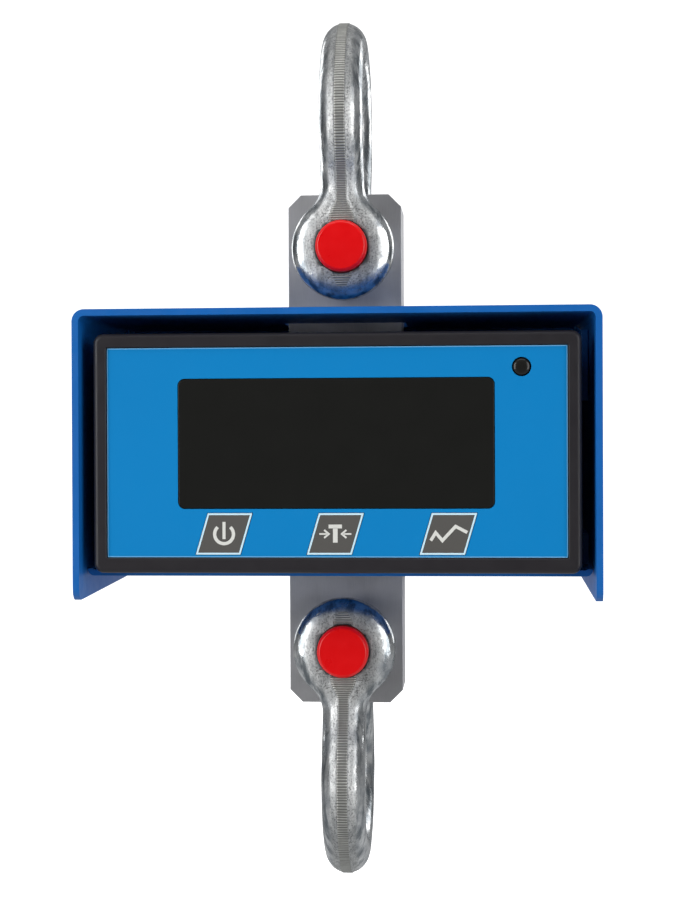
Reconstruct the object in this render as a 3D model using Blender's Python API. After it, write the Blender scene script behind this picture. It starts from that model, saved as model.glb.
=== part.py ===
"""Crane scale: a load cell bar between two screw-pin bow shackles, carrying a sheet-metal hood
with a keypad and display unit.

Metres, +Z up, +X to the reader's right, -Y towards the reader.  The origin is the seat of the
crane hook, the inside of the upper bow's crown.  Every named object is one piece of the assembly.
"""
import math

import bmesh
import bpy
from mathutils import Matrix, Vector

MM = 0.001
GAP = 0.3 * MM                       # air left between pieces that touch

# Shackles: 19 mm bar, 22 mm screw pin
BAR_R = 9.5 * MM
BOW_INNER_R = 25.5 * MM              # half of the width inside the bow
JAW_HALF = 15.9 * MM                 # half of the gap between the ears
EAR_R = 22.25 * MM
EAR_HALF_T = 9.05 * MM
EAR_SQUARENESS = 3.0                 # superellipse power of the ears, 2 is a round bar
NECK_FILLET = 14.0 * MM
SHOULDER_R = 40.0 * MM               # reverse curve between the bow and the straight ears
PIN_R = 11.0 * MM
PIN_CHAMFER = 1.2 * MM
PIN_FRONT_Y = -38.0 * MM
PIN_COLLAR_R = 16.0 * MM
PIN_COLLAR_T = 6.0 * MM
PIN_EYE_R = 12.5 * MM
PIN_EYE_HALF_T = 4.5 * MM
PIN_EYE_REACH = 10.0 * MM            # from the collar to the middle of the eye
PIN_EYE_HOLE_R = 5.0 * MM
EAR_HOLE_R = 11.35 * MM
BOW_HEIGHT = 71.5 * MM               # hook seat to the top of the pin
PIN_Z = -(BOW_HEIGHT + PIN_R)

# Load cell: flat bar with a bore near each end and a gauge pocket in the middle of each face
CELL_W = 49.4 * MM
CELL_H = 221.7 * MM
CELL_T = 28.0 * MM
CELL_CHAMFER = 5.5 * MM
CELL_BORE_PITCH = 172.4 * MM
CELL_BORE_R = 11.75 * MM
POCKET_R = 14.0 * MM
POCKET_DEPTH = 9.0 * MM
COVER_SEAT_R = 17.0 * MM
COVER_SEAT_DEPTH = 3.3 * MM
COVER_T = 2.6 * MM
GAUGE_SIZE = 11.0 * MM
GAUGE_T = 0.2 * MM
CELL_Z = PIN_Z - CELL_BORE_PITCH / 2
LOWER_PIN_Z = PIN_Z - CELL_BORE_PITCH

# Hood: one sheet folded into a top and two side walls, lower at the front than at the back
SHEET = 2.7 * MM
HOOD_W = 214.0 * MM
HOOD_TOP = CELL_Z + 57.4 * MM
HOOD_BOTTOM = CELL_Z - 61.3 * MM
HOOD_RISE = 2.8 * MM                 # how much higher the walls' lower edge is at the back
HOOD_FRONT = -76.0 * MM
HOOD_BACK = 36.0 * MM
HOOD_BEND_R = 5.0 * MM
HOOD_TIP_R = 5.0 * MM
HOOD_SLOT = (53.0 * MM, 32.0 * MM)   # opening for the load cell, along X and Y
HOOD_IN = HOOD_W / 2 - SHEET

# Base plate and back panel that close the hood, and the bracket that ties it to the load cell
PLATE_FRONT = -61.4 * MM
PLATE_BACK = 30.0 * MM
PLATE_T = 2.5 * MM
PLATE_BOTTOM = CELL_Z - 52.0 * MM
PLATE_BEND_R = 3.0 * MM
PANEL_BACK = PLATE_BACK + GAP + PLATE_T
FLANGE = 16.0 * MM
FLANGE_BACK = 28.0 * MM              # the plate's turned-up sides start this far back
BRACKET_T = 3.0 * MM
BRACKET_Z = (CELL_Z + 20.0 * MM, CELL_Z + 50.0 * MM)
BOLT_X = 14.0 * MM
BOLT_Z = CELL_Z + 35.0 * MM
BOLT_R = 3.0 * MM
BOLT_HEAD_R = 5.25 * MM
BOLT_HEAD_H = 3.3 * MM
BOLT_SOCKET = 4.0 * MM

# Countersunk screws through the hood's walls into the flanges of plate, panel and bracket
HOOD_SCREW_R = 2.0 * MM
HOOD_SCREW_HEAD_R = 3.8 * MM
HOOD_SCREW_HEAD_T = 2.0 * MM
HOOD_SCREW_REACH = 6.0 * MM
PLATE_SCREWS_Y = (-22.0 * MM, 15.0 * MM)
PLATE_SCREW_UP = 9.5 * MM            # above the plate's underside
BRACKET_SCREWS_Z = (CELL_Z + 43.0 * MM, CELL_Z + 27.0 * MM)
PANEL_SCREWS_Z = (CELL_Z + 38.0 * MM, CELL_Z - 22.0 * MM)

# Display unit
UNIT_Z = CELL_Z - 1.3 * MM
UNIT_W = 198.0 * MM
UNIT_H = 97.6 * MM
UNIT_R = 4.0 * MM
FRAME_FRONT = -73.0 * MM
FRAME_BACK = -63.0 * MM
OVERLAY = (186.6 * MM, 85.1 * MM)
OVERLAY_Z = UNIT_Z + 0.25 * MM
OVERLAY_FRONT = -72.0 * MM
OVERLAY_T = 0.4 * MM
FLOOR_FRONT = -71.3 * MM
FLOOR_BACK = -68.8 * MM
FRAME_CAVITY = (182.0 * MM, 84.0 * MM)
FRAME_POST = (11.0 * MM, 12.0 * MM)
SHELL_W = 176.0 * MM
SHELL_H = 83.4 * MM
SHELL_BACK = -36.0 * MM
SHELL_WALL = 3.0 * MM
SHELL_POST = 8.0 * MM
SHELL_FRONT = PLATE_FRONT
SHELL_RIM = (194.0 * MM, 94.0 * MM, 2.5 * MM)
FOOT = (16.0 * MM, 20.0 * MM)        # the shell's feet, along X and Y
FOOT_AT = (30.0 * MM, -49.0 * MM)
FOOT_SCREW_R = 2.0 * MM
FOOT_SCREW_HEAD = (3.6 * MM, 1.6 * MM)     # head radius, height of its taper
FOOT_SCREW_IN = 0.3 * MM             # head lies this far inside the plate's underside
GASKET_FRONT = FRAME_BACK + GAP
GASKET_T = 1.0 * MM
GASKET_HOLE = (168.0 * MM, 77.0 * MM, 6.0 * MM, 8.0 * MM)
CASE_SCREW_AT = (84.0 * MM, 37.2 * MM)
RIM_SCREW_AT = (92.5 * MM, 36.0 * MM)
SMALL_SCREW_R = 1.5 * MM
SMALL_HEAD_R = 2.7 * MM
SMALL_HEAD_T = 1.8 * MM
WINDOW = (128.0 * MM, 52.4 * MM)
WINDOW_R = 2.6 * MM
WINDOW_Z = CELL_Z + 2.5 * MM
WINDOW_LIP = 1.5 * MM
WINDOW_FRONT = -71.9 * MM
DISPLAY = (122.0 * MM, 48.0 * MM)
BOARD = (153.0 * MM, 76.0 * MM)
BOARD_FRONT = -59.2 * MM
BOARD_T = 1.6 * MM
IR_AT = (75.0 * MM, CELL_Z + 33.0 * MM)
IR_R = 3.6 * MM
KEY_W = 18.3 * MM
KEY_H = 16.9 * MM
KEY_SHEAR = 5.0 * MM                 # how far a key's top edge leans to the right
KEY_Z = CELL_Z - 34.1 * MM
KEY_FRONT = -72.2 * MM
KEY_X = {"power": -45.4 * MM, "tare": -0.1 * MM, "peak": 45.5 * MM}
BATTERY = (70.0 * MM, 12.5 * MM, 30.0 * MM)
BATTERY_MID = Vector((0.0, -48.6 * MM, CELL_Z - 20.5 * MM))
CLIP_T = 1.0 * MM
CLIP_HALF_W = 8.0 * MM
LEAD_R = 2.5 * MM
GLAND_R = 8.5 * MM
GLAND_NECK_R = 6.0 * MM
GLAND_LENGTH = 8.0 * MM
SOCKET_X = 55.0 * MM                 # charging socket, on the shell's underside
SOCKET_Y = -48.0 * MM
SOCKET_R = 4.0 * MM
SOCKET_COLLAR_R = 6.0 * MM
SOCKET_BORE_R = 2.6 * MM
JACK_HOLE_R = 7.5 * MM               # way through the base plate for the charger's plug
SWITCH = 6.0 * MM
SWITCH_H = 3.5 * MM
PLUNGER_R = 1.75 * MM
KEY_STEM_R = 2.0 * MM
KEY_BAR = (7.0 * MM, 10.0 * MM)      # how much wider than the key its bar is, and its height


# Modelling helpers ----------------------------------------------------------------------------

def material(name, colour, roughness, metallic=0.0):
    """A Principled material."""
    mat = bpy.data.materials.new(name)
    mat.use_nodes = True
    shader = mat.node_tree.nodes["Principled BSDF"]
    shader.inputs["Base Color"].default_value = (*colour, 1.0)
    shader.inputs["Roughness"].default_value = roughness
    shader.inputs["Metallic"].default_value = metallic
    return mat


def finish(name, bm, mat, smooth=40):
    """Turn a bmesh into the named object, faces outward, smooth below the given angle."""
    bmesh.ops.recalc_face_normals(bm, faces=bm.faces)
    mesh = bpy.data.meshes.new(name)
    bm.to_mesh(mesh)
    bm.free()
    mesh.shade_smooth()
    mesh.set_sharp_from_angle(angle=math.radians(smooth))
    obj = bpy.data.objects.new(name, mesh)
    bpy.context.scene.collection.objects.link(obj)
    if mat:
        mesh.materials.append(mat)
    return obj


def cut(target, *cutters, how="DIFFERENCE"):
    """Boolean the target with cutters, which stay in the file as hidden guides."""
    for cutter in cutters:
        modifier = target.modifiers.new(cutter.name, "BOOLEAN")
        modifier.operation = how
        modifier.solver = "EXACT"
        modifier.object = cutter
        cutter.hide_render = True
        cutter.display_type = "WIRE"


def loft(rings):
    """A closed skin through rings of points, with a flat cap at each end."""
    bm = bmesh.new()
    loops = [[bm.verts.new(point) for point in ring] for ring in rings]
    for low, high in zip(loops, loops[1:]):
        count = len(low)
        for i in range(count):
            j = (i + 1) % count
            bm.faces.new((low[i], low[j], high[j], high[i]))
    bm.faces.new(reversed(loops[0]))
    bm.faces.new(loops[-1])
    return bm


def prism(name, outline, y0, y1, mat=None):
    """Extrude an outline of (x, z) points along Y."""
    rings = [[(x, y, z) for x, z in outline] for y in (y0, y1)]
    return finish(name, loft(rings), mat, smooth=30)


def turned(name, profile, centre, mat=None, axis="Y", sides=32):
    """Turn a profile of (distance along the axis, radius) about an axis through the centre."""
    rings = []
    for along, radius in profile:
        ring = []
        for i in range(sides):
            angle = 2 * math.pi * i / sides
            across, up = radius * math.cos(angle), radius * math.sin(angle)
            offset = {"X": (along, across, up), "Y": (across, along, up), "Z": (across, up, along)}
            ring.append(Vector(centre) + Vector(offset[axis]))
        rings.append(ring)
    return finish(name, loft(rings), mat)


def rectangle(width, height, radius=0.0, middle=(0.0, 0.0), steps=4):
    """Outline of a rectangle with round corners."""
    points = []
    for corner, (sx, sz) in enumerate(((1, 1), (-1, 1), (-1, -1), (1, -1))):
        cx = middle[0] + sx * (width / 2 - radius)
        cz = middle[1] + sz * (height / 2 - radius)
        for i in range(steps + 1 if radius else 1):
            angle = math.pi / 2 * (corner + i / steps)
            points.append((cx + radius * math.cos(angle), cz + radius * math.sin(angle)))
    return points


def clipped(width, height, clip_x, clip_z, middle=(0.0, 0.0)):
    """Outline of a rectangle that steps inward at its corners, around four corner posts."""
    points = []
    for sx, sz in ((1, 1), (-1, 1), (-1, -1), (1, -1)):
        x, z = sx * width / 2, sz * height / 2
        step = [(x, z - sz * clip_z), (x - sx * clip_x, z - sz * clip_z), (x - sx * clip_x, z)]
        if sx * sz < 0:
            step.reverse()
        points += [(middle[0] + px, middle[1] + pz) for px, pz in step]
    return points


def block(name, low, high, mat=None):
    """A plain box between two corners."""
    outline = [(low[0], low[2]), (high[0], low[2]), (high[0], high[2]), (low[0], high[2])]
    return prism(name, outline, low[1], high[1], mat)


def attach(obj, parent):
    """Parent a piece to an empty, leaving it where it is in the world."""
    obj.parent = parent
    obj.location = obj.location - parent.matrix_world.translation
    return obj


def pivot(name, at, parent=None):
    """An empty on a joint's axis."""
    empty = bpy.data.objects.new(name, None)
    empty.empty_display_size = 0.02
    empty.location = at
    bpy.context.scene.collection.objects.link(empty)
    bpy.context.view_layer.update()
    if parent:
        attach(empty, parent)
        bpy.context.view_layer.update()
    return empty


# Shackles -------------------------------------------------------------------------------------

def ear_half_width(height):
    """Half width of the ear and neck, seen from the front, at a height above the pin."""
    limb_x = BAR_R + NECK_FILLET
    fillet_top = math.sqrt((EAR_R + NECK_FILLET) ** 2 - limb_x ** 2)
    disc_top = EAR_R * fillet_top / (EAR_R + NECK_FILLET)
    if height >= fillet_top:
        return BAR_R
    if height <= disc_top:
        return math.sqrt(EAR_R ** 2 - height ** 2)
    return limb_x - math.sqrt(NECK_FILLET ** 2 - (fillet_top - height) ** 2)


def bow_stations():
    """Half of the bow from an ear's lower end to the crown, as (y, height above the pin,
    direction, half width, half thickness, squareness)."""
    ear_y = JAW_HALF + EAR_HALF_T
    crown_r = BOW_INNER_R + BAR_R
    crown_z = BOW_HEIGHT + PIN_R - BOW_INNER_R
    lean = math.acos((ear_y + SHOULDER_R) / (crown_r + SHOULDER_R))
    shoulder_z = crown_z - (crown_r + SHOULDER_R) * math.sin(lean)
    up = math.pi / 2
    stations = []
    for share in (-0.985, -0.93, -0.82, -0.66, -0.45, -0.2):
        thickness = EAR_HALF_T * (1 - abs(share) ** EAR_SQUARENESS) ** (1 / EAR_SQUARENESS)
        stations.append((ear_y, share * EAR_R, up, thickness))
    for i in range(4):
        stations.append((ear_y, shoulder_z * i / 4, up, EAR_HALF_T))
    for i in range(4):
        turn = lean * i / 4
        y = ear_y + SHOULDER_R * (1 - math.cos(turn))
        z = shoulder_z + SHOULDER_R * math.sin(turn)
        stations.append((y, z, up - turn, BAR_R))
    for i in range(9):
        turn = -lean + (math.pi / 2 + lean) * i / 8
        z = crown_z + crown_r * math.sin(turn)
        stations.append((crown_r * math.cos(turn), z, up + turn, BAR_R))
    full = []
    for y, z, direction, thickness in stations:
        blend = min(max(z / (shoulder_z * 1.4), 0.0), 1.0)
        power = EAR_SQUARENESS + (2 - EAR_SQUARENESS) * blend
        full.append((y, z, direction, ear_half_width(z), thickness, power))
    return full


def bow_ring(station, mirror, sides=16):
    """One cross-section of the bow, a superellipse square to its centre line."""
    y, z, direction, half_x, half_t, power = station
    ring = []
    for i in range(sides):
        angle = 2 * math.pi * i / sides
        c, s = math.cos(angle), math.sin(angle)
        reach = (abs(c) ** power + abs(s) ** power) ** (-1 / power)
        off = half_t * reach * s
        py = y + off * math.sin(direction)
        pz = z - off * math.cos(direction)
        ring.append(Vector((half_x * reach * c, mirror * py, pz)))
    return ring


def make_bow(name, pin_z, up, mat):
    """A bow whose crown is above its pin (up = 1) or below it (up = -1)."""
    stations = bow_stations()
    rings = [bow_ring(station, 1) for station in stations]
    rings += [bow_ring(station, -1) for station in reversed(stations[:-1])]
    turn = Matrix.Rotation(0.0 if up > 0 else math.pi, 3, "Y")
    centre = Vector((0, 0, pin_z))
    bow = finish(name, loft([[centre + turn @ p for p in ring] for ring in rings]), mat, smooth=60)
    reach = JAW_HALF + 3 * EAR_HALF_T
    hole = turned(name + "_hole", [(-reach, EAR_HOLE_R), (reach, EAR_HOLE_R)], centre)
    cut(bow, hole)
    return bow


def make_pin(name, pin_z, mat):
    """Screw pin: shank, collar and an eye to turn it by."""
    collar = JAW_HALF + 2 * EAR_HALF_T + GAP
    end = collar + PIN_COLLAR_T
    bevel = 1.0 * MM
    profile = [
        (PIN_FRONT_Y, PIN_R - PIN_CHAMFER),
        (PIN_FRONT_Y + PIN_CHAMFER, PIN_R),
        (collar, PIN_R),
        (collar, PIN_COLLAR_R - bevel),
        (collar + bevel, PIN_COLLAR_R),
        (end - bevel, PIN_COLLAR_R),
        (end, PIN_COLLAR_R - bevel),
    ]
    pin = turned(name, profile, (0, 0, pin_z), mat)
    eye_y = end + PIN_EYE_REACH
    outline = [(end - PIN_COLLAR_T / 2, PIN_EYE_R), (end - PIN_COLLAR_T / 2, -PIN_EYE_R)]
    for i in range(13):
        angle = -math.pi / 2 + math.pi * i / 12
        outline.append((eye_y + PIN_EYE_R * math.cos(angle), PIN_EYE_R * math.sin(angle)))
    sides = (-PIN_EYE_HALF_T, PIN_EYE_HALF_T)
    rings = [[Vector((x, y, pin_z + z)) for y, z in outline] for x in sides]
    eye = finish(name + "_eye", loft(rings), None, smooth=30)
    reach = 2 * PIN_EYE_HALF_T
    hole_profile = [(-reach, PIN_EYE_HOLE_R), (reach, PIN_EYE_HOLE_R)]
    hole = turned(name + "_eye_hole", hole_profile, (0, eye_y, pin_z), axis="X", sides=20)
    cut(pin, eye, how="UNION")
    cut(pin, hole)
    return pin


# Load cell ------------------------------------------------------------------------------------

def chamfered(width, height, chamfer, middle_z):
    """Outline of a bar with its four corners cut off."""
    x, z = width / 2, height / 2
    points = [
        (x, z - chamfer),
        (x - chamfer, z),
        (chamfer - x, z),
        (-x, z - chamfer),
        (-x, chamfer - z),
        (chamfer - x, -z),
        (x - chamfer, -z),
        (x, chamfer - z),
    ]
    return [(px, middle_z + pz) for px, pz in points]


def make_load_cell(mats):
    """The bar, its gauges, the covers over them, and the lead to the display unit."""
    face = CELL_T / 2
    outline = chamfered(CELL_W, CELL_H, CELL_CHAMFER, CELL_Z)
    cell = prism("load_cell", outline, -face, face, mats["cell"])
    for end, z in (("upper", PIN_Z), ("lower", LOWER_PIN_Z)):
        profile = [(-CELL_T, CELL_BORE_R), (CELL_T, CELL_BORE_R)]
        cut(cell, turned("cell_bore_" + end, profile, (0, 0, z), sides=40))
    for side, sign in (("front", -1), ("rear", 1)):
        floor = sign * (face - POCKET_DEPTH)
        seat = sign * (face - COVER_SEAT_DEPTH)
        pocket = [(floor, POCKET_R), (seat, POCKET_R), (seat, COVER_SEAT_R)]
        pocket.append((sign * CELL_T, COVER_SEAT_R))
        cut(cell, turned("cell_pocket_" + side, pocket, (0, 0, CELL_Z)))
    for side, x in (("left", -BOLT_X), ("right", BOLT_X)):
        hole = [(-CELL_T, BOLT_R + GAP), (0.0, BOLT_R + GAP)]
        cut(cell, turned("cell_tapped_" + side, hole, (x, 0, BOLT_Z), sides=16))
    pieces = [cell]

    for side, sign in (("front", -1), ("rear", 1)):
        inner = sign * (face - COVER_SEAT_DEPTH + GAP)
        outer = inner + sign * COVER_T
        radius = COVER_SEAT_R - GAP
        profile = [(inner, radius), (outer - sign * 0.5 * MM, radius), (outer, radius - 0.5 * MM)]
        cover = turned("gauge_cover_" + side, profile, (0, 0, CELL_Z), mats["cover"])
        if side == "front":
            hole = [(-CELL_T, LEAD_R + GAP), (0.0, LEAD_R + GAP)]
            cut(cover, turned("gauge_cover_hole", hole, (0, 0, CELL_Z), sides=16))
        foil = sign * (face - POCKET_DEPTH + GAP)
        outline = rectangle(GAUGE_SIZE, GAUGE_SIZE, middle=(0, CELL_Z))
        gauge = prism("strain_gauge_" + side, outline, foil, foil + sign * GAUGE_T, mats["foil"])
        pieces += [cover, gauge]

    start = -face + POCKET_DEPTH / 2
    end = BOARD_FRONT + BOARD_T + 4.0 * MM
    profile = [(end, LEAD_R), (start, LEAD_R)]
    pieces.append(turned("cell_lead", profile, (0, 0, CELL_Z), mats["rubber"], sides=12))
    return pieces


# Hood, base plate and bracket -----------------------------------------------------------------

def folded(name, width, top, bottom, y0, y1, sheet, radius, mat):
    """A sheet folded into a top and two side walls, as an outline along Y."""
    points = []
    for inset, bend in ((0.0, radius), (sheet, radius - sheet)):
        half = width / 2 - inset
        side = [(half, bottom)]
        for i in range(6):
            angle = math.pi / 2 * i / 5
            x = half - bend + bend * math.cos(angle)
            side.append((x, top - inset - bend + bend * math.sin(angle)))
        path = side + [(-x, z) for x, z in reversed(side)]
        points += path if inset == 0.0 else list(reversed(path))
    return prism(name, points, y0, y1, mat)


def tip_cutter(name, y, toward):
    """Rounds a lower corner of both walls, seen from the side: a corner block less a round bar."""
    mid_y = y + toward * HOOD_TIP_R
    mid_z = HOOD_BOTTOM + HOOD_TIP_R
    outline = [(mid_y, mid_z - HOOD_TIP_R)]
    for i in range(7):
        angle = math.pi / 2 * i / 6
        dy = toward * HOOD_TIP_R * math.sin(angle)
        outline.append((mid_y - dy, mid_z - HOOD_TIP_R * math.cos(angle)))
    out = 2 * MM
    outline += [(y - toward * out, mid_z), (y - toward * out, HOOD_BOTTOM - out)]
    outline.append((mid_y, HOOD_BOTTOM - out))
    rings = [[(x, py, pz) for py, pz in outline] for x in (-HOOD_W, HOOD_W)]
    return finish(name, loft(rings), None)


def hood_screw_places():
    """Where the countersunk screws pass the hood's walls, as (side, y, z)."""
    bracket_y = -CELL_T / 2 - GAP - BRACKET_T - FLANGE / 2
    spots = [(y, PLATE_BOTTOM + PLATE_SCREW_UP) for y in PLATE_SCREWS_Y]
    spots += [(bracket_y, z) for z in BRACKET_SCREWS_Z]
    spots += [(PANEL_BACK - FLANGE / 2, z) for z in PANEL_SCREWS_Z]
    return [(side, y, z) for side in (-1, 1) for y, z in spots]


def tray(name, half, ends, face, tips, sheet, bend, mat, flat=False):
    """A sheet with its left and right edges folded: upright with its face at this y and its edges
    reaching to y = tips, or lying flat with its face at this z and its edges reaching to
    z = tips.  The ends are its extent along the third axis."""
    sign = 1 if tips > face else -1
    points = []
    for inset, radius in ((0.0, bend), (sheet, bend - sheet)):
        x_side = half - inset
        plane = face + sign * inset
        side = [(x_side, tips)]
        for i in range(4):
            angle = math.pi / 2 * i / 3
            x = x_side - radius + radius * math.cos(angle)
            side.append((x, plane + sign * radius * (1 - math.sin(angle))))
        path = side + [(-x, d) for x, d in reversed(side)]
        points += path if inset == 0.0 else list(reversed(path))
    rings = [[(x, end, d) if flat else (x, d, end) for x, d in points] for end in ends]
    return finish(name, loft(rings), mat, smooth=30)


def make_hood_sheet(mats):
    """The hood itself, with its slot and its sloping lower edge."""
    size = (HOOD_W, HOOD_TOP, HOOD_BOTTOM, HOOD_FRONT, HOOD_BACK, SHEET, HOOD_BEND_R)
    hood = folded("hood", *size, mats["blue"])
    slot_low = (-HOOD_SLOT[0] / 2, -HOOD_SLOT[1] / 2, HOOD_TOP - 3 * SHEET)
    slot_high = (HOOD_SLOT[0] / 2, HOOD_SLOT[1] / 2, HOOD_TOP + SHEET)
    cut(hood, block("hood_slot", slot_low, slot_high))
    cut(hood, tip_cutter("hood_tip_front", HOOD_FRONT, 1))
    cut(hood, tip_cutter("hood_tip_back", HOOD_BACK, -1))
    slope = HOOD_RISE / (HOOD_BACK - HOOD_FRONT)
    beyond = 5 * MM
    outline = [
        (HOOD_FRONT - beyond, HOOD_BOTTOM - slope * beyond),
        (HOOD_BACK + beyond, HOOD_BOTTOM + HOOD_RISE + slope * beyond),
        (HOOD_BACK + beyond, HOOD_BOTTOM - beyond),
        (HOOD_FRONT - beyond, HOOD_BOTTOM - beyond),
    ]
    rings = [[(x, y, z) for y, z in outline] for x in (-HOOD_W, HOOD_W)]
    cut(hood, finish("hood_slope", loft(rings), None))
    return hood


def make_base_plate(mats):
    """Plate that closes the hood below, with a slot for the load cell and turned-up sides."""
    plate = tray("base_plate", HOOD_IN - GAP, (PLATE_FRONT, PLATE_BACK), PLATE_BOTTOM,
                 PLATE_BOTTOM + FLANGE, PLATE_T, PLATE_BEND_R, mats["blue"], flat=True)
    under = PLATE_BOTTOM - PLATE_T
    slot_low = (-HOOD_SLOT[0] / 2, -HOOD_SLOT[1] / 2, under)
    slot_high = (HOOD_SLOT[0] / 2, HOOD_SLOT[1] / 2, PLATE_BOTTOM + 2 * PLATE_T)
    cut(plate, block("plate_slot", slot_low, slot_high))
    hole = [(under, JACK_HOLE_R), (PLATE_BOTTOM + 2 * PLATE_T, JACK_HOLE_R)]
    cut(plate, turned("plate_jack_hole", hole, (SOCKET_X, SOCKET_Y, 0), axis="Z", sides=20))
    for side, sign in (("left", -1), ("right", 1)):
        xs = sorted((sign * (HOOD_IN - GAP - PLATE_T - 2 * MM), sign * HOOD_IN))
        low = (xs[0], PLATE_FRONT - MM, PLATE_BOTTOM + PLATE_BEND_R)
        high = (xs[1], PLATE_FRONT + FLANGE_BACK, PLATE_BOTTOM + FLANGE + MM)
        cut(plate, block("plate_notch_" + side, low, high))
    return plate


def make_back_panel(mats):
    """Panel that closes the hood behind, its sides folded forward above the base plate's."""
    top = HOOD_TOP - SHEET - GAP
    panel = tray("back_panel", HOOD_IN - GAP, (PLATE_BOTTOM, top), PANEL_BACK, PANEL_BACK - FLANGE,
                 PLATE_T, PLATE_BEND_R, mats["blue"])
    for side, sign in (("left", -1), ("right", 1)):
        xs = sorted((sign * (HOOD_IN - GAP - PLATE_T - 5 * MM), sign * HOOD_IN))
        low = (xs[0], PANEL_BACK - FLANGE - MM, PLATE_BOTTOM - MM)
        high = (xs[1], PLATE_BACK + GAP, PLATE_BOTTOM + FLANGE + GAP)
        cut(panel, block("panel_notch_" + side, low, high))
        edge, up = sign * (HOOD_IN + MM), top + MM
        corner = [(edge, top - 3 * MM), (edge, up), (sign * (HOOD_IN - 3 * MM), up)]
        cut(panel, prism("panel_corner_" + side, corner, 0.0, PANEL_BACK + MM))
    return panel


def make_hood(mats):
    """Hood, its plate, panel and bracket, and the screws that hold them together."""
    hood = make_hood_sheet(mats)
    plate = make_base_plate(mats)
    panel = make_back_panel(mats)
    back = -CELL_T / 2 - GAP
    bracket = tray("cross_bracket", HOOD_IN - GAP, BRACKET_Z, back, back - BRACKET_T - FLANGE,
                   BRACKET_T, PLATE_BEND_R + 0.5 * MM, mats["blue"])
    pieces = [hood, plate, panel, bracket]
    for side, x in (("left", -BOLT_X), ("right", BOLT_X)):
        hole = [(-CELL_T, BOLT_R + GAP), (0.0, BOLT_R + GAP)]
        cut(bracket, turned("bracket_hole_" + side, hole, (x, 0, BOLT_Z), sides=16))
        seat = back - BRACKET_T - GAP
        profile = [
            (seat - BOLT_HEAD_H, BOLT_HEAD_R * 0.6),
            (seat - BOLT_HEAD_H * 0.7, BOLT_HEAD_R * 0.9),
            (seat - BOLT_HEAD_H * 0.3, BOLT_HEAD_R),
            (seat, BOLT_HEAD_R),
            (seat, BOLT_R),
            (-2 * MM, BOLT_R),
        ]
        bolt = turned("bracket_bolt_" + side, profile, (x, 0, BOLT_Z), mats["steel"], sides=16)
        socket = rectangle(BOLT_SOCKET, BOLT_SOCKET, middle=(x, BOLT_Z))
        depth = seat - BOLT_HEAD_H * 0.4
        cut(bolt, prism("bolt_socket_" + side, socket, seat - 2 * BOLT_HEAD_H, depth))
        pieces.append(bolt)

    screw_r, head_r, head_t = HOOD_SCREW_R, HOOD_SCREW_HEAD_R, HOOD_SCREW_HEAD_T
    for number, (side, y, z) in enumerate(hood_screw_places(), start=1):
        wall = side * HOOD_W / 2
        profile = [
            (wall + side * SHEET, head_r + GAP),
            (wall - side * GAP, head_r + GAP),
            (wall - side * head_t, screw_r + GAP),
            (side * (HOOD_IN - HOOD_SCREW_REACH - 2 * MM), screw_r + GAP),
        ]
        cutter = turned(f"screw_hole_{number}", profile, (0, y, z), axis="X", sides=16)
        cut(hood, cutter)
        held = bracket if y < 0 else panel
        cut(plate if z < PLATE_BOTTOM + FLANGE else held, cutter)
        profile = [
            (wall - side * GAP, head_r),
            (wall - side * (head_t + GAP), screw_r),
            (side * (HOOD_IN - HOOD_SCREW_REACH), screw_r),
        ]
        name = f"hood_screw_{number}"
        pieces.append(turned(name, profile, (0, y, z), mats["steel"], axis="X", sides=16))
    return pieces


# Display unit ---------------------------------------------------------------------------------

def key_outline(x, grow=0.0):
    """Outline of a leaning key, with its four edges moved outward."""
    left = x - KEY_W / 2 - grow
    right = x + KEY_W / 2 + grow
    top = KEY_Z + KEY_H / 2 + grow
    bottom = KEY_Z - KEY_H / 2 - grow
    lean = KEY_SHEAR * (KEY_H + 2 * grow) / KEY_H / 2
    return [(left - lean, bottom), (right - lean, bottom), (right + lean, top), (left + lean, top)]


def screw_places(at):
    """Four places around the unit's middle, as (x, z)."""
    return [(sx * at[0], UNIT_Z + sz * at[1]) for sz in (1, -1) for sx in (-1, 1)]


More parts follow.
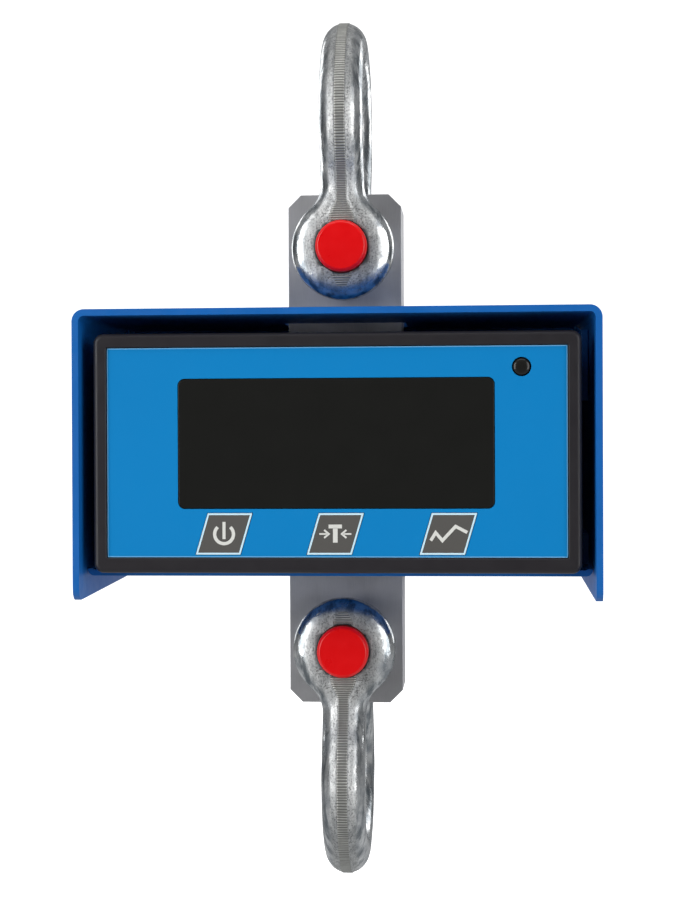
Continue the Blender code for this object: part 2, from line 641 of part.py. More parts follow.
def make_shell(mats):
    """Rear shell: a tub with a rim for the gasket and two feet on the base plate."""
    mid = (0, UNIT_Z)
    outline = rectangle(SHELL_W, SHELL_H, 1.7 * MM, mid)
    shell = prism("rear_shell", outline, SHELL_FRONT, SHELL_BACK, mats["black"])
    rim_w, rim_h, rim_t = SHELL_RIM
    rim = prism("shell_rim", rectangle(rim_w, rim_h, 3 * MM, mid), SHELL_FRONT, SHELL_FRONT + rim_t)
    cut(shell, rim, how="UNION")
    floor_z = UNIT_Z - SHELL_H / 2
    plate_top = PLATE_BOTTOM + PLATE_T
    head_z = PLATE_BOTTOM + FOOT_SCREW_IN
    drills = []
    for side, sign in (("left", -1), ("right", 1)):
        x, y = sign * FOOT_AT[0], FOOT_AT[1]
        low = (x - FOOT[0] / 2, y - FOOT[1] / 2, plate_top + GAP)
        high = (x + FOOT[0] / 2, y + FOOT[1] / 2, floor_z + MM)
        cut(shell, block("shell_foot_" + side, low, high), how="UNION")
        head_r, taper = FOOT_SCREW_HEAD
        hole = [
            (PLATE_BOTTOM - PLATE_T, head_r + GAP),
            (head_z, head_r + GAP),
            (head_z + taper, FOOT_SCREW_R + GAP),
            (floor_z + 2 * MM, FOOT_SCREW_R + GAP),
        ]
        drills.append(turned("foot_drill_" + side, hole, (x, y, 0), axis="Z", sides=16))
    inner = (SHELL_W - 2 * SHELL_WALL, SHELL_H - 2 * SHELL_WALL)
    cavity = clipped(*inner, SHELL_POST, SHELL_POST, mid)
    cut(shell, prism("shell_cavity", cavity, SHELL_FRONT - 5 * MM, SHELL_BACK - SHELL_WALL))
    neck = GLAND_NECK_R + GAP
    bore = [(SHELL_BACK - 10 * MM, neck), (SHELL_BACK + 5 * MM, neck)]
    cut(shell, turned("shell_gland_hole", bore, (0, 0, CELL_Z), sides=20))
    socket = [(-5 * MM, SOCKET_R + GAP), (SHELL_WALL + MM, SOCKET_R + GAP)]
    socket_at = (SOCKET_X, SOCKET_Y, floor_z)
    cut(shell, turned("shell_socket_hole", socket, socket_at, axis="Z", sides=20))

    pieces = [shell]
    for side, sign, drill in (("left", -1, drills[0]), ("right", 1, drills[1])):
        cut(shell, drill)
        cut(bpy.data.objects["base_plate"], drill)
        profile = [
            (head_z, head_r),
            (head_z + taper, FOOT_SCREW_R),
            (floor_z + MM, FOOT_SCREW_R),
        ]
        at = (sign * FOOT_AT[0], FOOT_AT[1], 0)
        pieces.append(turned("foot_screw_" + side, profile, at, mats["steel"], axis="Z", sides=16))
    return pieces


def make_case(mats):
    """Front frame, rear shell, the gasket between them and their screws."""
    mid = (0, UNIT_Z)
    frame = prism("front_frame", rectangle(UNIT_W, UNIT_H, UNIT_R, mid), FRAME_FRONT, FRAME_BACK,
                  mats["black"])
    recess = rectangle(OVERLAY[0] + 2 * GAP, OVERLAY[1] + 2 * GAP, 0.5 * MM, (0, OVERLAY_Z), 2)
    cut(frame, prism("frame_recess", recess, FRAME_FRONT - 5 * MM, FLOOR_FRONT))
    cavity = clipped(*FRAME_CAVITY, *FRAME_POST, mid)
    cut(frame, prism("frame_cavity", cavity, FLOOR_BACK, FRAME_BACK + 5 * MM))
    window = rectangle(WINDOW[0] + 2 * GAP, WINDOW[1] + 2 * GAP, WINDOW_R + GAP, (0, WINDOW_Z))
    through = (FRAME_FRONT - 5 * MM, FLOOR_BACK + 2 * MM)
    cut(frame, prism("frame_window", window, *through))
    for name, x in KEY_X.items():
        cut(frame, prism("frame_key_" + name, key_outline(x, GAP), *through))
    ir = [(through[0], IR_R + GAP), (through[1], IR_R + GAP)]
    cut(frame, turned("frame_ir", ir, (IR_AT[0], 0, IR_AT[1]), sides=24))

    gasket = prism("case_gasket", rectangle(*SHELL_RIM[:2], 3 * MM, mid), GASKET_FRONT,
                   GASKET_FRONT + GASKET_T, mats["rubber"])
    hole = clipped(*GASKET_HOLE, mid)
    cut(gasket, prism("gasket_hole", hole, GASKET_FRONT - MM, GASKET_FRONT + 2 * MM))
    shell, *foot_screws = make_shell(mats)

    pieces = [frame, gasket, shell, *foot_screws]
    runs = [("case_screw", SHELL_BACK, -68 * MM, CASE_SCREW_AT)]
    runs.append(("rim_screw", SHELL_FRONT + SHELL_RIM[2], -69 * MM, RIM_SCREW_AT))
    for kind, seat, tip, places in runs:
        for number, (x, z) in enumerate(screw_places(places), start=1):
            name = f"{kind}_{number}"
            at = (x, 0, z)
            hole_r = SMALL_SCREW_R + GAP
            drill = turned(name + "_hole", [(tip - GAP, hole_r), (seat + 5 * MM, hole_r)], at,
                           sides=12)
            for target in (frame, gasket, shell):
                cut(target, drill)
            profile = [
                (tip, SMALL_SCREW_R * 0.6),
                (tip + MM, SMALL_SCREW_R),
                (seat + GAP, SMALL_SCREW_R),
                (seat + GAP, SMALL_HEAD_R),
                (seat + GAP + SMALL_HEAD_T * 0.6, SMALL_HEAD_R),
                (seat + GAP + SMALL_HEAD_T, SMALL_HEAD_R * 0.6),
            ]
            pieces.append(turned(name, profile, at, mats["steel"], sides=12))
    return pieces


def make_front(mats):
    """Overlay, window, display, receiver and board."""
    back = OVERLAY_FRONT + OVERLAY_T
    overlay = prism("membrane_overlay", rectangle(*OVERLAY, middle=(0, OVERLAY_Z)), OVERLAY_FRONT,
                    back, mats["overlay"])
    through = (OVERLAY_FRONT - 2 * MM, back + 2 * MM)
    window = rectangle(WINDOW[0] + 2 * GAP, WINDOW[1] + 2 * GAP, WINDOW_R + GAP, (0, WINDOW_Z))
    cut(overlay, prism("overlay_window", window, *through))
    for name, x in KEY_X.items():
        cut(overlay, prism("overlay_key_" + name, key_outline(x, GAP), *through))
    ir_at = (IR_AT[0], 0, IR_AT[1])
    ir = [(through[0], IR_R + GAP), (through[1], IR_R + GAP)]
    cut(overlay, turned("overlay_ir", ir, ir_at, sides=24))

    lens_back = FLOOR_BACK + GAP + 2 * MM
    pane = rectangle(*WINDOW, WINDOW_R, (0, WINDOW_Z))
    lip = rectangle(WINDOW[0] + 2 * WINDOW_LIP, WINDOW[1] + 2 * WINDOW_LIP, WINDOW_R,
                    (0, WINDOW_Z))
    lens = prism("display_window", pane, WINDOW_FRONT, lens_back - MM, mats["window"])
    cut(lens, prism("window_lip", lip, FLOOR_BACK + GAP, lens_back), how="UNION")

    display_low = (-DISPLAY[0] / 2, lens_back + GAP, WINDOW_Z - DISPLAY[1] / 2)
    display_high = (DISPLAY[0] / 2, BOARD_FRONT - GAP, WINDOW_Z + DISPLAY[1] / 2)
    display = block("display_module", display_low, display_high, mats["dark"])
    board = prism("main_board", rectangle(*BOARD, 1 * MM, (0, UNIT_Z), 2), BOARD_FRONT,
                  BOARD_FRONT + BOARD_T, mats["board"])

    dome = [(-72.8, 1.6), (-72.6, 2.6), (-72.2, 3.3), (-71.6, 3.6), (-67.2, 3.6)]
    profile = [(y * MM, r * MM) for y, r in dome]
    ir_lens = turned("ir_lens", profile, ir_at, mats["window"], sides=20)
    x, z, half = IR_AT[0] - MM, IR_AT[1], 2.3 * MM
    low = (x - half, -66.9 * MM, z - half)
    high = (x + half, BOARD_FRONT - GAP, z + half)
    receiver = block("ir_receiver", low, high, mats["dark"])
    return [overlay, lens, display, board, ir_lens, receiver]


def make_key(name, x, mats):
    """A leaning key with a retaining bar and a stem, and the switch that it presses."""
    bar_front = FLOOR_BACK + 0.4 * MM
    bar_back = bar_front + 1.0 * MM
    stem_back = bar_back + 1.5 * MM
    key = prism(name + "_key", key_outline(x), KEY_FRONT, bar_front + 0.5 * MM, mats["key"])
    bar = rectangle(KEY_W + KEY_BAR[0], KEY_BAR[1], middle=(x, KEY_Z))
    cut(key, prism(name + "_key_bar", bar, bar_front, bar_back), how="UNION")
    stem = [(bar_back - 0.5 * MM, KEY_STEM_R), (stem_back, KEY_STEM_R)]
    cut(key, turned(name + "_key_stem", stem, (x, 0, KEY_Z), sides=16), how="UNION")

    body = rectangle(SWITCH, SWITCH, middle=(x, KEY_Z))
    body_front = BOARD_FRONT - GAP - SWITCH_H
    switch = prism(name + "_switch", body, body_front, BOARD_FRONT - GAP, mats["dark"])
    plunger = [(stem_back + 0.6 * MM, PLUNGER_R), (body_front + MM, PLUNGER_R)]
    cut(switch, turned(name + "_plunger", plunger, (x, 0, KEY_Z), sides=16), how="UNION")
    return key, switch


def make_rear_fittings(mats):
    """Battery, its clip, the charging socket and the gland of the load cell's lead."""
    size = Vector(BATTERY)
    low, high = BATTERY_MID - size / 2, BATTERY_MID + size / 2
    outline = rectangle(size.x, size.z, 4 * MM, (BATTERY_MID.x, BATTERY_MID.z))
    battery = prism("battery_pack", outline, low.y, high.y, mats["battery"])

    reach = GAP + CLIP_T
    clip_low = (BATTERY_MID.x - CLIP_HALF_W, low.y - reach, low.z - reach)
    clip_high = (BATTERY_MID.x + CLIP_HALF_W, high.y, high.z + reach)
    clip = block("battery_clip", clip_low, clip_high, mats["steel"])
    room_low = (clip_low[0] - MM, low.y - GAP, low.z - GAP)
    room_high = (clip_high[0] + MM, high.y + 5 * MM, high.z + GAP)
    cut(clip, block("battery_clip_room", room_low, room_high))

    profile = [
        (-1.2 * MM, SOCKET_COLLAR_R),
        (-GAP, SOCKET_COLLAR_R),
        (-GAP, SOCKET_R),
        (11.0 * MM, SOCKET_R),
    ]
    at = (SOCKET_X, SOCKET_Y, UNIT_Z - SHELL_H / 2)
    socket = turned("charge_socket", profile, at, mats["dark"], axis="Z", sides=20)
    bore = [(-5 * MM, SOCKET_BORE_R), (8 * MM, SOCKET_BORE_R)]
    cut(socket, turned("charge_socket_bore", bore, at, axis="Z", sides=16))

    seat = SHELL_BACK + GAP
    profile = [
        (SHELL_BACK - SHELL_WALL - 3 * MM, GLAND_NECK_R),
        (seat, GLAND_NECK_R),
        (seat, GLAND_R),
        (seat + 5 * MM, GLAND_R),
        (seat + GLAND_LENGTH, GLAND_R * 0.6),
    ]
    gland = turned("lead_gland", profile, (0, 0, CELL_Z), mats["dark"], sides=24)
    bore = [(2 * SHELL_BACK, LEAD_R + GAP), (0.0, LEAD_R + GAP)]
    cut(gland, turned("lead_gland_bore", bore, (0, 0, CELL_Z), sides=16))
    return [battery, clip, socket, gland]


def make_materials():
    """One material for each finish."""
    return {
        "zinc": material("zinc_steel", (0.52, 0.53, 0.53), 0.35, 0.9),
        "red": material("red_paint", (0.70, 0.01, 0.01), 0.35),
        "cell": material("cell_steel", (0.30, 0.31, 0.34), 0.35, 0.9),
        "cover": material("cover_steel", (0.45, 0.46, 0.48), 0.3, 1.0),
        "foil": material("gauge_foil", (0.70, 0.45, 0.15), 0.4, 0.5),
        "blue": material("blue_paint", (0.01, 0.14, 0.48), 0.4),
        "overlay": material("overlay_film", (0.02, 0.24, 0.58), 0.35),
        "black": material("black_case", (0.03, 0.03, 0.035), 0.45),
        "key": material("key_grey", (0.10, 0.10, 0.09), 0.5),
        "window": material("window_acrylic", (0.01, 0.01, 0.01), 0.1),
        "dark": material("dark_plastic", (0.02, 0.02, 0.02), 0.5),
        "board": material("board_green", (0.02, 0.20, 0.08), 0.5),
        "rubber": material("rubber", (0.02, 0.02, 0.02), 0.8),
        "battery": material("battery_wrap", (0.05, 0.25, 0.35), 0.5),
        "steel": material("screw_steel", (0.55, 0.55, 0.56), 0.3, 1.0),
    }


def main():
    for obj in list(bpy.data.objects):
        bpy.data.objects.remove(obj, do_unlink=True)
    mats = make_materials()
    hung = pivot("scale_pivot", (0, 0, PIN_Z))
    lower = pivot("lower_pivot", (0, 0, LOWER_PIN_Z), hung)

    make_bow("upper_bow", PIN_Z, 1, mats["zinc"])
    make_pin("upper_pin", PIN_Z, mats["red"])
    attach(make_bow("lower_bow", LOWER_PIN_Z, -1, mats["zinc"]), lower)
    attach(make_pin("lower_pin", LOWER_PIN_Z, mats["red"]), lower)

    pieces = make_load_cell(mats) + make_hood(mats) + make_case(mats)
    pieces += make_front(mats) + make_rear_fittings(mats)
    for name, x in KEY_X.items():
        pieces += make_key(name, x, mats)
    for piece in pieces:
        attach(piece, hung)


main()
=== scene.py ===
"""The looks of the crane scale: detailed meshes and procedural materials around the CAD frame."""
import math

import bmesh
import bpy
from mathutils import Euler, Matrix, Vector, noise


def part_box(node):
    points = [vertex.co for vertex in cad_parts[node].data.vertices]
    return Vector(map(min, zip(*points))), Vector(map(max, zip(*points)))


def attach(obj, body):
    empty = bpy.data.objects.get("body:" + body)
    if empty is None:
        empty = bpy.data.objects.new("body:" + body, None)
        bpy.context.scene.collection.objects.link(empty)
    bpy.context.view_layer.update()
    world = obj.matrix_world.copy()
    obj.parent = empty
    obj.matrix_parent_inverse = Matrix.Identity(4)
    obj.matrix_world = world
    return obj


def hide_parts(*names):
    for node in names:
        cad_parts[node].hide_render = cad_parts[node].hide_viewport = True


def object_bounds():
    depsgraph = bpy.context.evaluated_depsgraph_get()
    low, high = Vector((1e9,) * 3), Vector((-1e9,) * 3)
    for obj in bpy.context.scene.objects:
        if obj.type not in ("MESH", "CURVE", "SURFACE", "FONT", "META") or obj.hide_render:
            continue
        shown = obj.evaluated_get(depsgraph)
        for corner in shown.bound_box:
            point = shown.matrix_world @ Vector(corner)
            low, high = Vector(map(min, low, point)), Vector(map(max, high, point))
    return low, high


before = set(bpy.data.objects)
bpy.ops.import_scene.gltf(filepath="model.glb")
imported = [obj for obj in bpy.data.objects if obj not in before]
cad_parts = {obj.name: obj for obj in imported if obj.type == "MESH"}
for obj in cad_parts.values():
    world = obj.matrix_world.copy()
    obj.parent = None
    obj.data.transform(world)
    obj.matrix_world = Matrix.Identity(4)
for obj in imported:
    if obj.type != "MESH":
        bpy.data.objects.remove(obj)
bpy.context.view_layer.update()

MM = 0.001
SCALE_BODY = "scale_body"

# Sizes shared with the CAD source, in metres
BAR_R = 9.5 * MM
BOW_INNER_R = 25.5 * MM
JAW_HALF = 15.9 * MM
EAR_R = 22.25 * MM
EAR_HALF_T = 9.05 * MM
EAR_SQUARENESS = 3.0
NECK_FILLET = 14.0 * MM
SHOULDER_R = 40.0 * MM
BOW_HEIGHT = 71.5 * MM
PIN_R = 11.0 * MM
EAR_HOLE_R = 11.35 * MM
PIN_COLLAR = (16.0 * MM, 6.0 * MM)   # radius, thickness
PIN_EYE = (12.5 * MM, 4.5 * MM)      # radius, half thickness
PIN_EYE_HOLE_R = 5.0 * MM
CELL_CHAMFER = 5.5 * MM
CELL_BORE_R = 11.75 * MM
COVER_SEAT = (17.0 * MM, 3.3 * MM)   # radius, depth
POCKET = (14.0 * MM, 9.0 * MM)
GAP = 0.3 * MM
SHEET = 2.7 * MM
HOOD_BEND_R = 5.0 * MM
HOOD_TIP_R = 5.0 * MM
HOOD_RISE = 2.8 * MM
HOOD_SLOT = (53.0 * MM, 32.0 * MM)
PLATE = (2.5 * MM, 3.0 * MM)         # sheet, bend radius
BRACKET = (3.0 * MM, 3.5 * MM)
FLANGE_BACK = 28.0 * MM
HOOD_SINK = (4.1 * MM, 2.0 * MM)     # radius, depth
HOOD_SCREW_HEAD_R = 3.7 * MM
SCREW_R = 2.0 * MM
SCREW_HOLE_R = 2.3 * MM
SCREW_TAPER = 1.6 * MM
CASE_SCREW_R = 1.5 * MM
JACK_HOLE_R = 7.5 * MM
FOOT = (16.0 * MM, 20.0 * MM)
SHELL = (176.0 * MM, 83.4 * MM)
SHELL_WALL = 3.0 * MM
SHELL_RIM = (94.0 * MM, 2.5 * MM)    # height, thickness
FRAME_CAVITY = (182.0 * MM, 84.0 * MM)
WINDOW = (128.0 * MM, 52.4 * MM)
WINDOW_R = 2.6 * MM
KEY_W = 18.3 * MM
KEY_SHEAR = 5.0 * MM

# Sizes of the finer detail
TINY = 0.2 * MM                      # closes a turned profile on its axis
KEY_SLIT = 0.14 * MM
LENS_HOLE_R = 3.9 * MM
RIB_PITCH = 0.95 * MM                # ribs left across the trimmed flash
RIB_WAVE = math.pi / 10              # a wave texture's period at scale 1
KEYS = ("power", "tare", "peak")
SIDES = ("left", "right")
HOOD_SCREWS = range(1, 13)
CASE_SCREWS = range(1, 5)


def middle(node):
    """Centre of a CAD node's box."""
    low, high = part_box(node)
    return (Vector(low) + Vector(high)) / 2


def corners(node):
    """Lowest and highest corner of a CAD node's box, as vectors."""
    low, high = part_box(node)
    return Vector(low), Vector(high)


def whole_box(node):
    """Lowest corner, highest corner and centre of a CAD node's box."""
    return (*corners(node), middle(node))


PIN_Z = middle("upper_pin").z
LOWER_PIN_Z = middle("lower_pin").z
CELL_MID = middle("load_cell")


# Mesh helpers

def mesh_object(name, bm, look=None, smooth=35):
    """Turn a bmesh into an object, faces outward, smooth below the given angle."""
    bmesh.ops.recalc_face_normals(bm, faces=bm.faces)
    mesh = bpy.data.meshes.new(name)
    bm.to_mesh(mesh)
    bm.free()
    mesh.shade_smooth()
    mesh.set_sharp_from_angle(angle=math.radians(smooth))
    obj = bpy.data.objects.new(name, mesh)
    bpy.context.scene.collection.objects.link(obj)
    if look:
        mesh.materials.append(look)
    return obj


def loft(rings, closed=False):
    """Skin through rings of points: capped at both ends, or joined end to start if closed."""
    bm = bmesh.new()
    loops = [[bm.verts.new(point) for point in ring] for ring in rings]
    pairs = list(zip(loops, loops[1:]))
    if closed:
        pairs.append((loops[-1], loops[0]))
    for low, high in pairs:
        count = len(low)
        for i in range(count):
            j = (i + 1) % count
            bm.faces.new((low[i], low[j], high[j], high[i]))
    if not closed:
        bm.faces.new(reversed(loops[0]))
        bm.faces.new(loops[-1])
    return bm


def at_depth(outline, y):
    """A ring of points from an outline of (x, z) points at a place along Y."""
    return [(x, y, z) for x, z in outline]


def prism(name, outline, y0, y1, look=None):
    """Extrude an outline of (x, z) points along Y."""
    return mesh_object(name, loft([at_depth(outline, y) for y in (y0, y1)]), look)


def folded_outline(half, face, tips, sheet, bend, steps):
    """Outline across a sheet whose left and right edges are folded from its face to the tips."""
    sign = 1 if tips > face else -1
    outline = []
    for inset, radius in ((0.0, bend), (sheet, bend - sheet)):
        edge = half - inset
        side = [(edge, tips)]
        for i in range(steps + 1):
            angle = math.pi / 2 * i / steps
            x = edge - radius + radius * math.cos(angle)
            side.append((x, face + sign * (inset + radius * (1 - math.sin(angle)))))
        path = side + [(-x, d) for x, d in reversed(side)]
        outline += path[::-1] if inset else path
    return outline


def turned(name, profile, centre, look=None, axis="Y", sides=64):
    """Turn a profile of (place along the axis, radius) about an axis through a point."""
    foot = Vector(centre)
    foot["XYZ".index(axis)] = 0.0
    rings = []
    for along, radius in profile:
        ring = []
        for i in range(sides):
            angle = 2 * math.pi * i / sides
            across, up = radius * math.cos(angle), radius * math.sin(angle)
            offset = {"X": (along, across, up), "Y": (across, along, up), "Z": (across, up, along)}
            ring.append(foot + Vector(offset[axis]))
        rings.append(ring)
    return mesh_object(name, loft(rings), look)


def upright_block(outline, z0, z1):
    """A cutter: an outline of (x, y) points between two heights."""
    return mesh_object("cutter", loft([[(x, y, z) for x, y in outline] for z in (z0, z1)]))


def side_block(outline, x0, x1):
    """A cutter: an outline of (y, z) points between two places along X."""
    return mesh_object("cutter", loft([[(x, y, z) for y, z in outline] for x in (x0, x1)]))


def drill(place, start, end, radius, axis="Y", sides=32):
    """A round cutter about an axis through a point, from start to end along it."""
    return turned("cutter", [(start, radius), (end, radius)], place, axis=axis, sides=sides)


def rectangle(width, height, radius=0.0, middle_at=(0.0, 0.0), steps=10):
    """Outline of a rectangle with round corners."""
    points = []
    for corner, (sx, sz) in enumerate(((1, 1), (-1, 1), (-1, -1), (1, -1))):
        cx = middle_at[0] + sx * (width / 2 - radius)
        cz = middle_at[1] + sz * (height / 2 - radius)
        for i in range(steps + 1 if radius else 1):
            angle = math.pi / 2 * (corner + i / steps)
            points.append((cx + radius * math.cos(angle), cz + radius * math.sin(angle)))
    return points


def bake_modifiers(obj):
    """Replace an object's mesh by what its modifiers make of it."""
    graph = bpy.context.evaluated_depsgraph_get()
    mesh = bpy.data.meshes.new_from_object(obj.evaluated_get(graph))
    obj.modifiers.clear()
    obj.data = mesh
    return obj


def even_shading(obj, smooth=35):
    """Sharp above the given angle; below it the large faces decide the normals."""
    obj.data.set_sharp_from_angle(angle=math.radians(smooth))
    modifier = obj.modifiers.new("even", "WEIGHTED_NORMAL")
    modifier.mode = "FACE_AREA"
    modifier.weight = 100
    modifier.keep_sharp = True
    return bake_modifiers(obj)


def carve(obj, *cutters, how="DIFFERENCE"):
    """Boolean an object with cutters and drop them."""
    for cutter in cutters:
        modifier = obj.modifiers.new("carve", "BOOLEAN")
        modifier.operation = how
        modifier.solver = "EXACT"
        modifier.object = cutter
    bake_modifiers(obj)
    for cutter in cutters:
        bpy.data.objects.remove(cutter, do_unlink=True)
    return even_shading(obj)


def soften(obj, width, segments, angle=40):
    """Round off edges sharper than the angle."""
    modifier = obj.modifiers.new("soften", "BEVEL")
    modifier.width = width
    modifier.segments = segments
    modifier.limit_method = "ANGLE"
    modifier.angle_limit = math.radians(angle)
    bake_modifiers(obj)
    return even_shading(obj, 50)


def stand_in(obj, body, slot, *nodes):
    """The piece rides on a body and stands for CAD nodes, which it hides; the slot is not used."""
    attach(obj, body)
    if nodes:
        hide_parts(*nodes)
    return obj


# Material helpers

class NodeTree:
    """The node tree of a material or of the world."""

    def __init__(self, owner):
        owner.use_nodes = True
        self.tree = owner.node_tree

    def add(self, kind, **inputs):
        """A node, with values or links for its inputs."""
        node = self.tree.nodes.new(kind)
        for name, value in inputs.items():
            self.feed(node.inputs[name.replace("_", " ")], value)
        return node

    def feed(self, socket, value):
        if isinstance(value, bpy.types.NodeSocket):
            self.tree.links.new(value, socket)
        else:
            socket.default_value = value

    def spread(self, value, low=0.3, high=0.7, to_low=0.0, to_high=1.0):
        """Map a value from one range to another, clamped."""
        node = self.add("ShaderNodeMapRange", Value=value, From_Min=low, From_Max=high,
                        To_Min=to_low, To_Max=to_high)
        return node.outputs["Result"]

    def math(self, operation, first, second):
        node = self.add("ShaderNodeMath")
        node.operation = operation
        self.feed(node.inputs[0], first)
        self.feed(node.inputs[1], second)
        return node.outputs[0]


class Look(NodeTree):
    """A procedural material under construction."""

    def __init__(self, name, metallic=0.0, coat=0.0, gloss=0.5):
        self.material = bpy.data.materials.new(name)
        super().__init__(self.material)
        self.shader = self.tree.nodes["Principled BSDF"]
        self.shader.inputs["Metallic"].default_value = metallic
        self.shader.inputs["Coat Weight"].default_value = coat
        self.shader.inputs["Specular IOR Level"].default_value = gloss
        self.bumps = None
        self.place = self.add("ShaderNodeTexCoord").outputs["Object"]

    def stretched(self, scale):
        """Object coordinates scaled by three factors, for grain that runs one way."""
        return self.add("ShaderNodeMapping", Vector=self.place, Scale=scale).outputs["Vector"]

    def noise(self, size, detail=3.0, rough=0.5, place=None):
        """Noise whose features are about this size, in metres."""
        node = self.add("ShaderNodeTexNoise", Vector=place or self.place, Scale=1 / size,
                        Detail=detail, Roughness=rough)
        return node.outputs["Fac"]

    def attribute(self, name):
        node = self.add("ShaderNodeAttribute")
        node.attribute_name = name
        return node

    def mix(self, share, first, second):
        """Blend two colours."""
        node = self.add("ShaderNodeMix")
        node.data_type = "RGBA"
        self.feed(node.inputs[0], share)
        self.feed(node.inputs[6], self.rgba(first))
        self.feed(node.inputs[7], self.rgba(second))
        return node.outputs[2]

    def blend(self, share, first, second):
        """Blend two values."""
        node = self.add("ShaderNodeMix")
        self.feed(node.inputs[0], share)
        self.feed(node.inputs[2], first)
        self.feed(node.inputs[3], second)
        return node.outputs[0]

    def both(self, first, second):
        """Product of two values."""
        return self.math("MULTIPLY", first, second)

    @staticmethod
    def rgba(colour):
        return (*colour, 1.0) if isinstance(colour, tuple) and len(colour) == 3 else colour

    def bump(self, height, distance):
        """Add relief of this height in metres on top of the relief so far."""
        node = self.add("ShaderNodeBump", Height=height, Distance=distance, Strength=1.0)
        if self.bumps:
            self.feed(node.inputs["Normal"], self.bumps)
        self.bumps = node.outputs["Normal"]

    def drifting(self, colour, size, detail, vary):
        """The colour, slowly going darker and lighter by this share; also gives the noise."""
        drift = self.noise(size, detail)
        return drift, self.mix(drift, shade(colour, 1 - vary), shade(colour, 1 + vary))

    def edges(self, low=0.52, high=0.62):
        """1 on worn convex edges, 0 elsewhere."""
        point = self.add("ShaderNodeNewGeometry").outputs["Pointiness"]
        return self.spread(point, low, high)

    def done(self, colour, roughness):
        self.feed(self.shader.inputs["Base Color"], self.rgba(colour))
        self.feed(self.shader.inputs["Roughness"], roughness)
        if self.bumps:
            self.feed(self.shader.inputs["Normal"], self.bumps)
        return self.material


def shade(colour, factor):
    return tuple(min(1.0, c * factor) for c in colour)


def plastic(name, colour, vary=0.08, rough=(0.38, 0.5), grain=0.35 * MM, relief=0.02 * MM,
            wear=0.0):
    """Moulded or painted surface: fine grain, slow colour drift, worn edges if asked."""
    look = Look(name, gloss=0.3)
    _drift, tone = look.drifting(colour, 25 * MM, 2.0, vary)
    if wear:
        worn = look.both(look.edges(), wear)
        tone = look.mix(worn, tone, shade(colour, 2.2))
    fine = look.noise(grain, 2.0)
    look.bump(fine, relief)
    return look.done(tone, look.spread(look.noise(9 * MM), 0.3, 0.7, *rough))


def powder_coat(name, colour):
    """Powder coat on steel: orange-peel relief, faint mottling, a few fine pale scuffs."""
    look = Look(name, gloss=0.55)
    peel = look.noise(1.1 * MM, 1.0)
    drift = look.noise(30 * MM, 3.0)
    tone = look.mix(look.spread(drift), shade(colour, 0.93), shade(colour, 1.06))
    scuff = look.noise(6 * MM, 6.0, 0.7)
    rubbed = look.noise(1.0, 3.0, 0.6, place=look.stretched((160, 160, 700)))
    rubbed = look.both(look.spread(rubbed, 0.68, 0.76), look.spread(scuff, 0.5, 0.7))
    tone = look.mix(look.both(rubbed, 0.3), tone, (0.20, 0.36, 0.60))
    look.bump(peel, 0.03 * MM)
    look.bump(look.noise(0.25 * MM, 1.0), 0.006 * MM)
    return look.done(tone, look.spread(scuff, 0.3, 0.7, 0.33, 0.45))


def galvanised(name):
    """Hot-dip zinc on forged steel: bright uneven skin, sugary grain beside the dull ribbed
    strip where the flash was trimmed."""
    look = Look(name, metallic=1.0)
    flash = look.attribute("flash").outputs["Fac"]
    grain = look.attribute("grain").outputs["Fac"]
    on_flash = look.spread(flash, 0.5, 0.6)
    blotch = look.noise(6.5 * MM, 5.0, 0.6)
    speck = look.noise(0.75 * MM, 3.0, 0.65)
    tone = look.mix(look.spread(blotch, 0.36, 0.62), (0.28, 0.30, 0.32), (0.66, 0.67, 0.67))
    runs = look.noise(1.0, 3.0, 0.6, place=look.stretched((300, 300, 40)))
    tone = look.mix(look.spread(runs, 0.46, 0.6, 0.0, 0.8), tone, (0.10, 0.12, 0.135))
    tone = look.mix(look.both(grain, 0.6), tone, (0.52, 0.52, 0.51))
    pits = look.both(look.spread(speck, 0.34, 0.52, 0.85, 0.0), grain)
    tone = look.mix(pits, tone, (0.12, 0.12, 0.12))
    along = look.attribute("ridge").outputs["Vector"]
    ribs = look.add("ShaderNodeTexWave", Vector=along, Scale=RIB_WAVE / RIB_PITCH,
                    Distortion=2.6, Detail=2.0, Detail_Scale=0.6)
    ribs.bands_direction = "Y"
    ribs = ribs.outputs["Fac"]
    trimmed = look.mix(look.spread(ribs, 0.1, 0.8), (0.17, 0.17, 0.16), (0.56, 0.56, 0.53))
    trimmed = look.mix(look.spread(blotch, 0.4, 0.6, 0.0, 0.5), trimmed, (0.27, 0.27, 0.26))
    tone = look.mix(on_flash, tone, trimmed)
    # Dark broken line on the flash edges above the pin: painted shade of the raised strip's edge,
    # with dark specks along it.
    flash_edge_shade_and_specks = look.both(look.spread(flash, 0.05, 0.35), look.spread(flash, 0.9, 0.55))
    flash_edge_shade_and_specks = look.both(flash_edge_shade_and_specks, look.spread(speck, 0.42, 0.5))
    above_pin = look.add("ShaderNodeSeparateXYZ", Vector=along).outputs["Z"]
    flash_edge_shade_and_specks = look.both(flash_edge_shade_and_specks, above_pin)
    tone = look.mix(flash_edge_shade_and_specks, tone, (0.05, 0.05, 0.05))
    dull = look.spread(blotch, 0.35, 0.65, 0.30, 0.11)
    dull = look.blend(look.both(grain, 0.85), dull, 0.60)
    dull = look.blend(on_flash, dull, 0.55)
    look.bump(look.noise(5.0 * MM, 2.0), 0.22 * MM)
    look.bump(look.both(speck, grain), 0.14 * MM)
    look.bump(look.noise(1.8 * MM, 2.0), 0.035 * MM)
    look.bump(look.both(ribs, on_flash), 0.12 * MM)
    return look.done(tone, dull)


